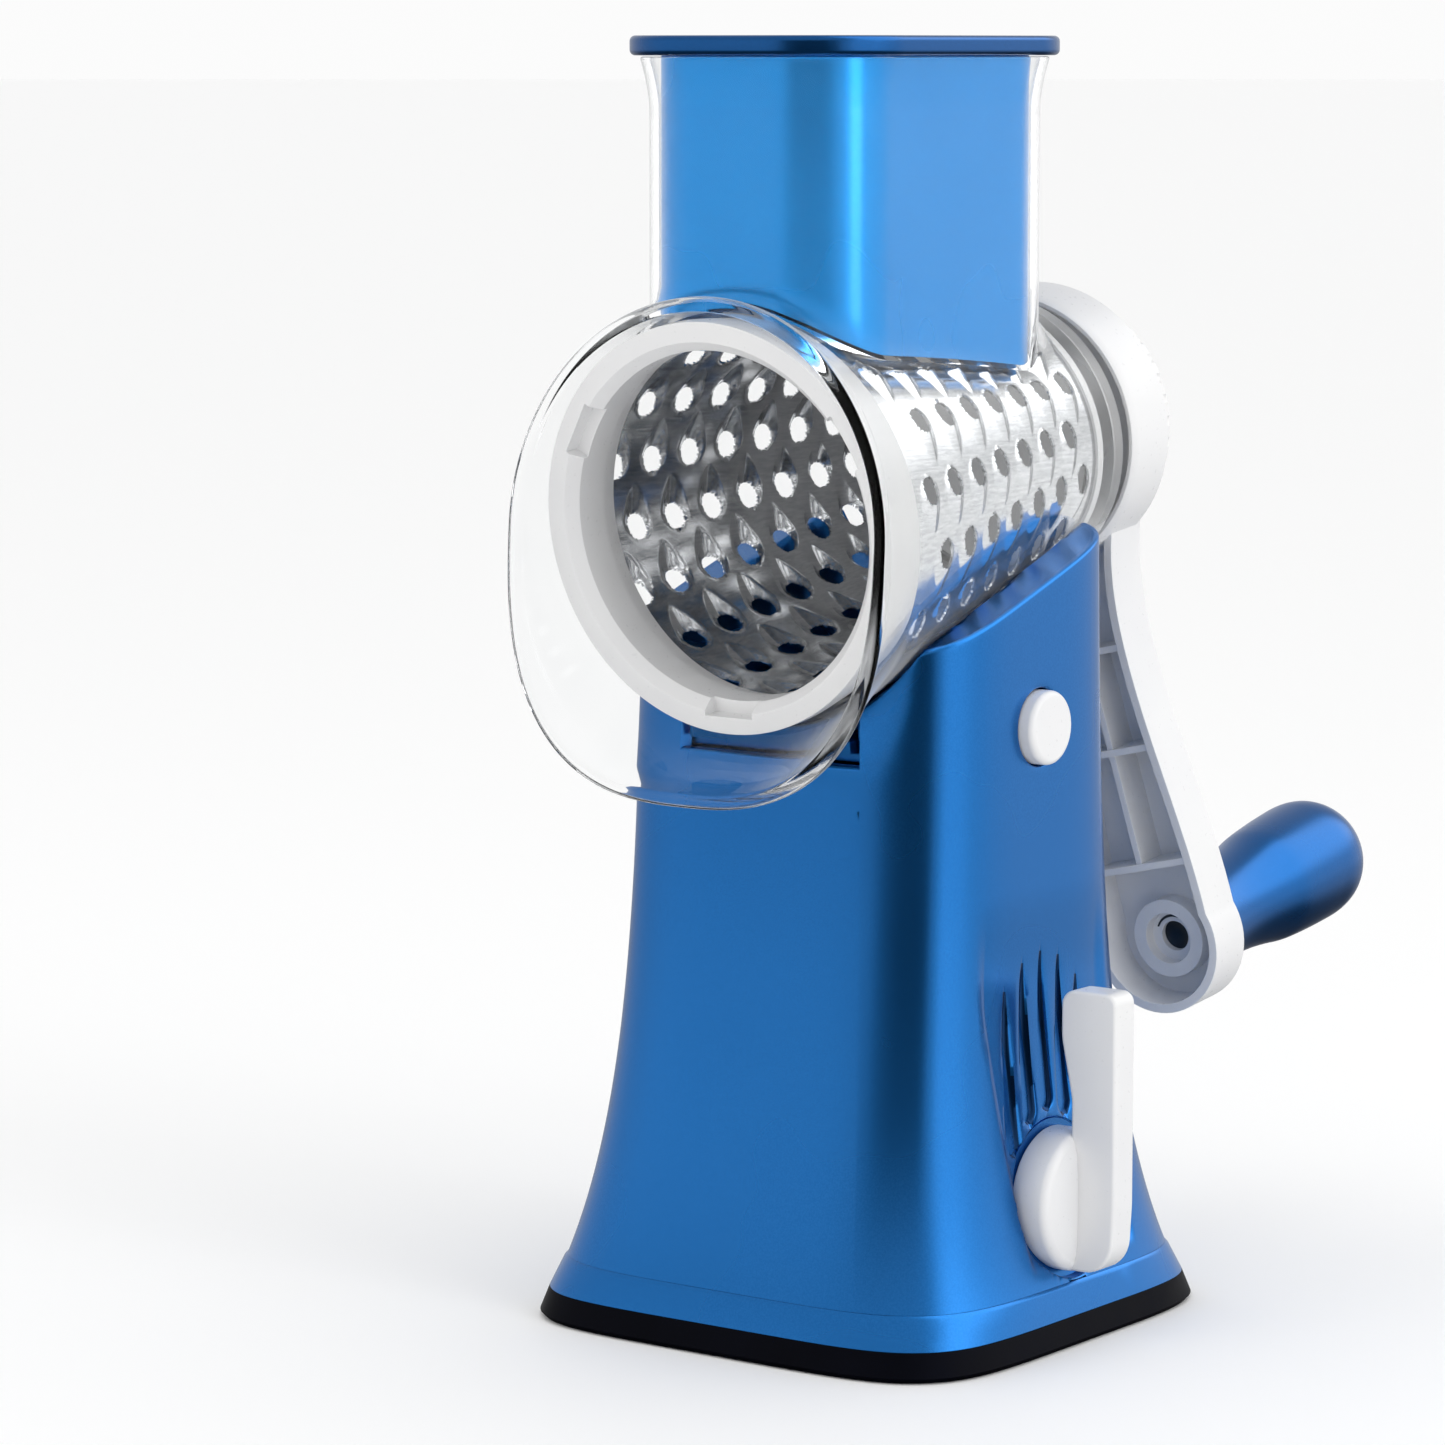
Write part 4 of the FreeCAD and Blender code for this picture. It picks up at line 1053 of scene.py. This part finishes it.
def azimuth_ramp(nodes, links, source, panels):
    """Grey ramp round the horizon from (azimuth in degrees, value) stops."""
    ramp = nodes.new("ShaderNodeValToRGB")
    ramp.color_ramp.interpolation = "EASE"
    stops = ramp.color_ramp.elements
    while len(stops) > 1:
        stops.remove(stops[-1])
    for index, (azimuth, value) in enumerate(panels):
        stop = stops[0] if index == 0 else stops.new((azimuth + 180) / 360)
        stop.position = (azimuth + 180) / 360
        stop.color = (value, value, value, 1)
    links.new(source, ramp.inputs["Fac"])
    return ramp


def height_range(nodes, links, source, start, end, low=0.0, high=1.0):
    """Smooth step from low to high between two heights of the direction looked in."""
    step = nodes.new("ShaderNodeMapRange")
    step.interpolation_type = "SMOOTHSTEP"
    step.inputs["From Min"].default_value = start
    step.inputs["From Max"].default_value = end
    step.inputs["To Min"].default_value = low
    step.inputs["To Max"].default_value = high
    links.new(source, step.inputs["Value"])
    return step


def make_world():
    """Even white, except that reflections see panels round the horizon and overhead."""
    world = bpy.data.worlds.new("studio")
    bpy.context.scene.world = world
    world.use_nodes = True
    nodes, links = world.node_tree.nodes, world.node_tree.links
    even = nodes["Background"]
    even.inputs["Color"].default_value = (1, 1, 1, 1)
    even.inputs["Strength"].default_value = WHITE_LEVEL

    coordinates = nodes.new("ShaderNodeTexCoord")
    split = nodes.new("ShaderNodeSeparateXYZ")
    links.new(coordinates.outputs["Generated"], split.inputs["Vector"])
    turn = nodes.new("ShaderNodeMath")
    turn.operation = "ARCTAN2"
    flip = nodes.new("ShaderNodeMath")
    flip.operation = "MULTIPLY"
    flip.inputs[1].default_value = -1.0
    links.new(split.outputs["Y"], flip.inputs[0])
    links.new(split.outputs["X"], turn.inputs[0])
    links.new(flip.outputs[0], turn.inputs[1])
    scale = nodes.new("ShaderNodeMapRange")
    scale.inputs["From Min"].default_value = -pi
    scale.inputs["From Max"].default_value = pi
    links.new(turn.outputs[0], scale.inputs["Value"])
    ramp = azimuth_ramp(nodes, links, scale.outputs["Result"], PANELS)
    lift = height_range(nodes, links, split.outputs["Z"], 0.12, 0.42)
    overhead = nodes.new("ShaderNodeMix")
    overhead.data_type = "RGBA"
    upper = azimuth_ramp(nodes, links, scale.outputs["Result"], OVERHEAD)
    links.new(upper.outputs["Color"], overhead.inputs["B"])
    links.new(lift.outputs["Result"], overhead.inputs["Factor"])
    links.new(ramp.outputs["Color"], overhead.inputs["A"])
    sink = height_range(nodes, links, split.outputs["Z"], -0.2, -0.48)
    rising = height_range(nodes, links, split.outputs["Z"], -0.17, -0.03, 1.0, 1.5)
    underside = nodes.new("ShaderNodeMix")
    underside.data_type = "RGBA"
    underside.inputs["B"].default_value = (UNDERSIDE, UNDERSIDE, UNDERSIDE, 1)
    links.new(sink.outputs["Result"], underside.inputs["Factor"])
    links.new(overhead.outputs["Result"], underside.inputs["A"])
    panels = nodes.new("ShaderNodeBackground")
    links.new(underside.outputs["Result"], panels.inputs["Color"])
    links.new(rising.outputs["Result"], panels.inputs["Strength"])

    path = nodes.new("ShaderNodeLightPath")
    mirror = nodes.new("ShaderNodeMath")
    mirror.operation = "MINIMUM"
    mirror.inputs[1].default_value = 1.0
    links.new(path.outputs["Glossy Depth"], mirror.inputs[0])
    mix = nodes.new("ShaderNodeMixShader")
    links.new(mirror.outputs[0], mix.inputs["Fac"])
    links.new(even.outputs["Background"], mix.inputs[1])
    links.new(panels.outputs["Background"], mix.inputs[2])
    links.new(mix.outputs["Shader"], nodes["World Output"].inputs["Surface"])


def make_floor():
    """Pale disc just under the resting face."""
    mesh = bpy.data.meshes.new("floor")
    turns = [2 * pi * k / FLOOR_SIDES for k in range(FLOOR_SIDES)]
    rim = [(FLOOR_RADIUS * cos(turn), FLOOR_RADIUS * sin(turn), 0) for turn in turns]
    mesh.from_pydata(rim, [], [tuple(range(FLOOR_SIDES))])
    floor = bpy.data.objects.new("floor", mesh)
    bpy.context.scene.collection.objects.link(floor)
    floor.location.z = -0.2 * MM
    floor.visible_glossy = False
    material, _, _, shader = new_material("floor")
    shader.inputs["Base Color"].default_value = (0.97, 0.97, 0.97, 1)
    shader.inputs["Roughness"].default_value = 0.7
    mesh.materials.append(material)


pillar()
saddle_cap()
clear_housing()
grating_drum()
suction_lever()
axle_bolt()
for node, width in SOFT_EDGES.items():
    refined(node, width)

make_camera()
make_world()
make_floor()
area_light("key", -38, 32, 1.6, 1.0, 1.3, 1.5)
area_light("strip", 84, 25, 1.5, 0.45, 1.5, 5)
bpy.context.scene.view_settings.view_transform = "Standard"
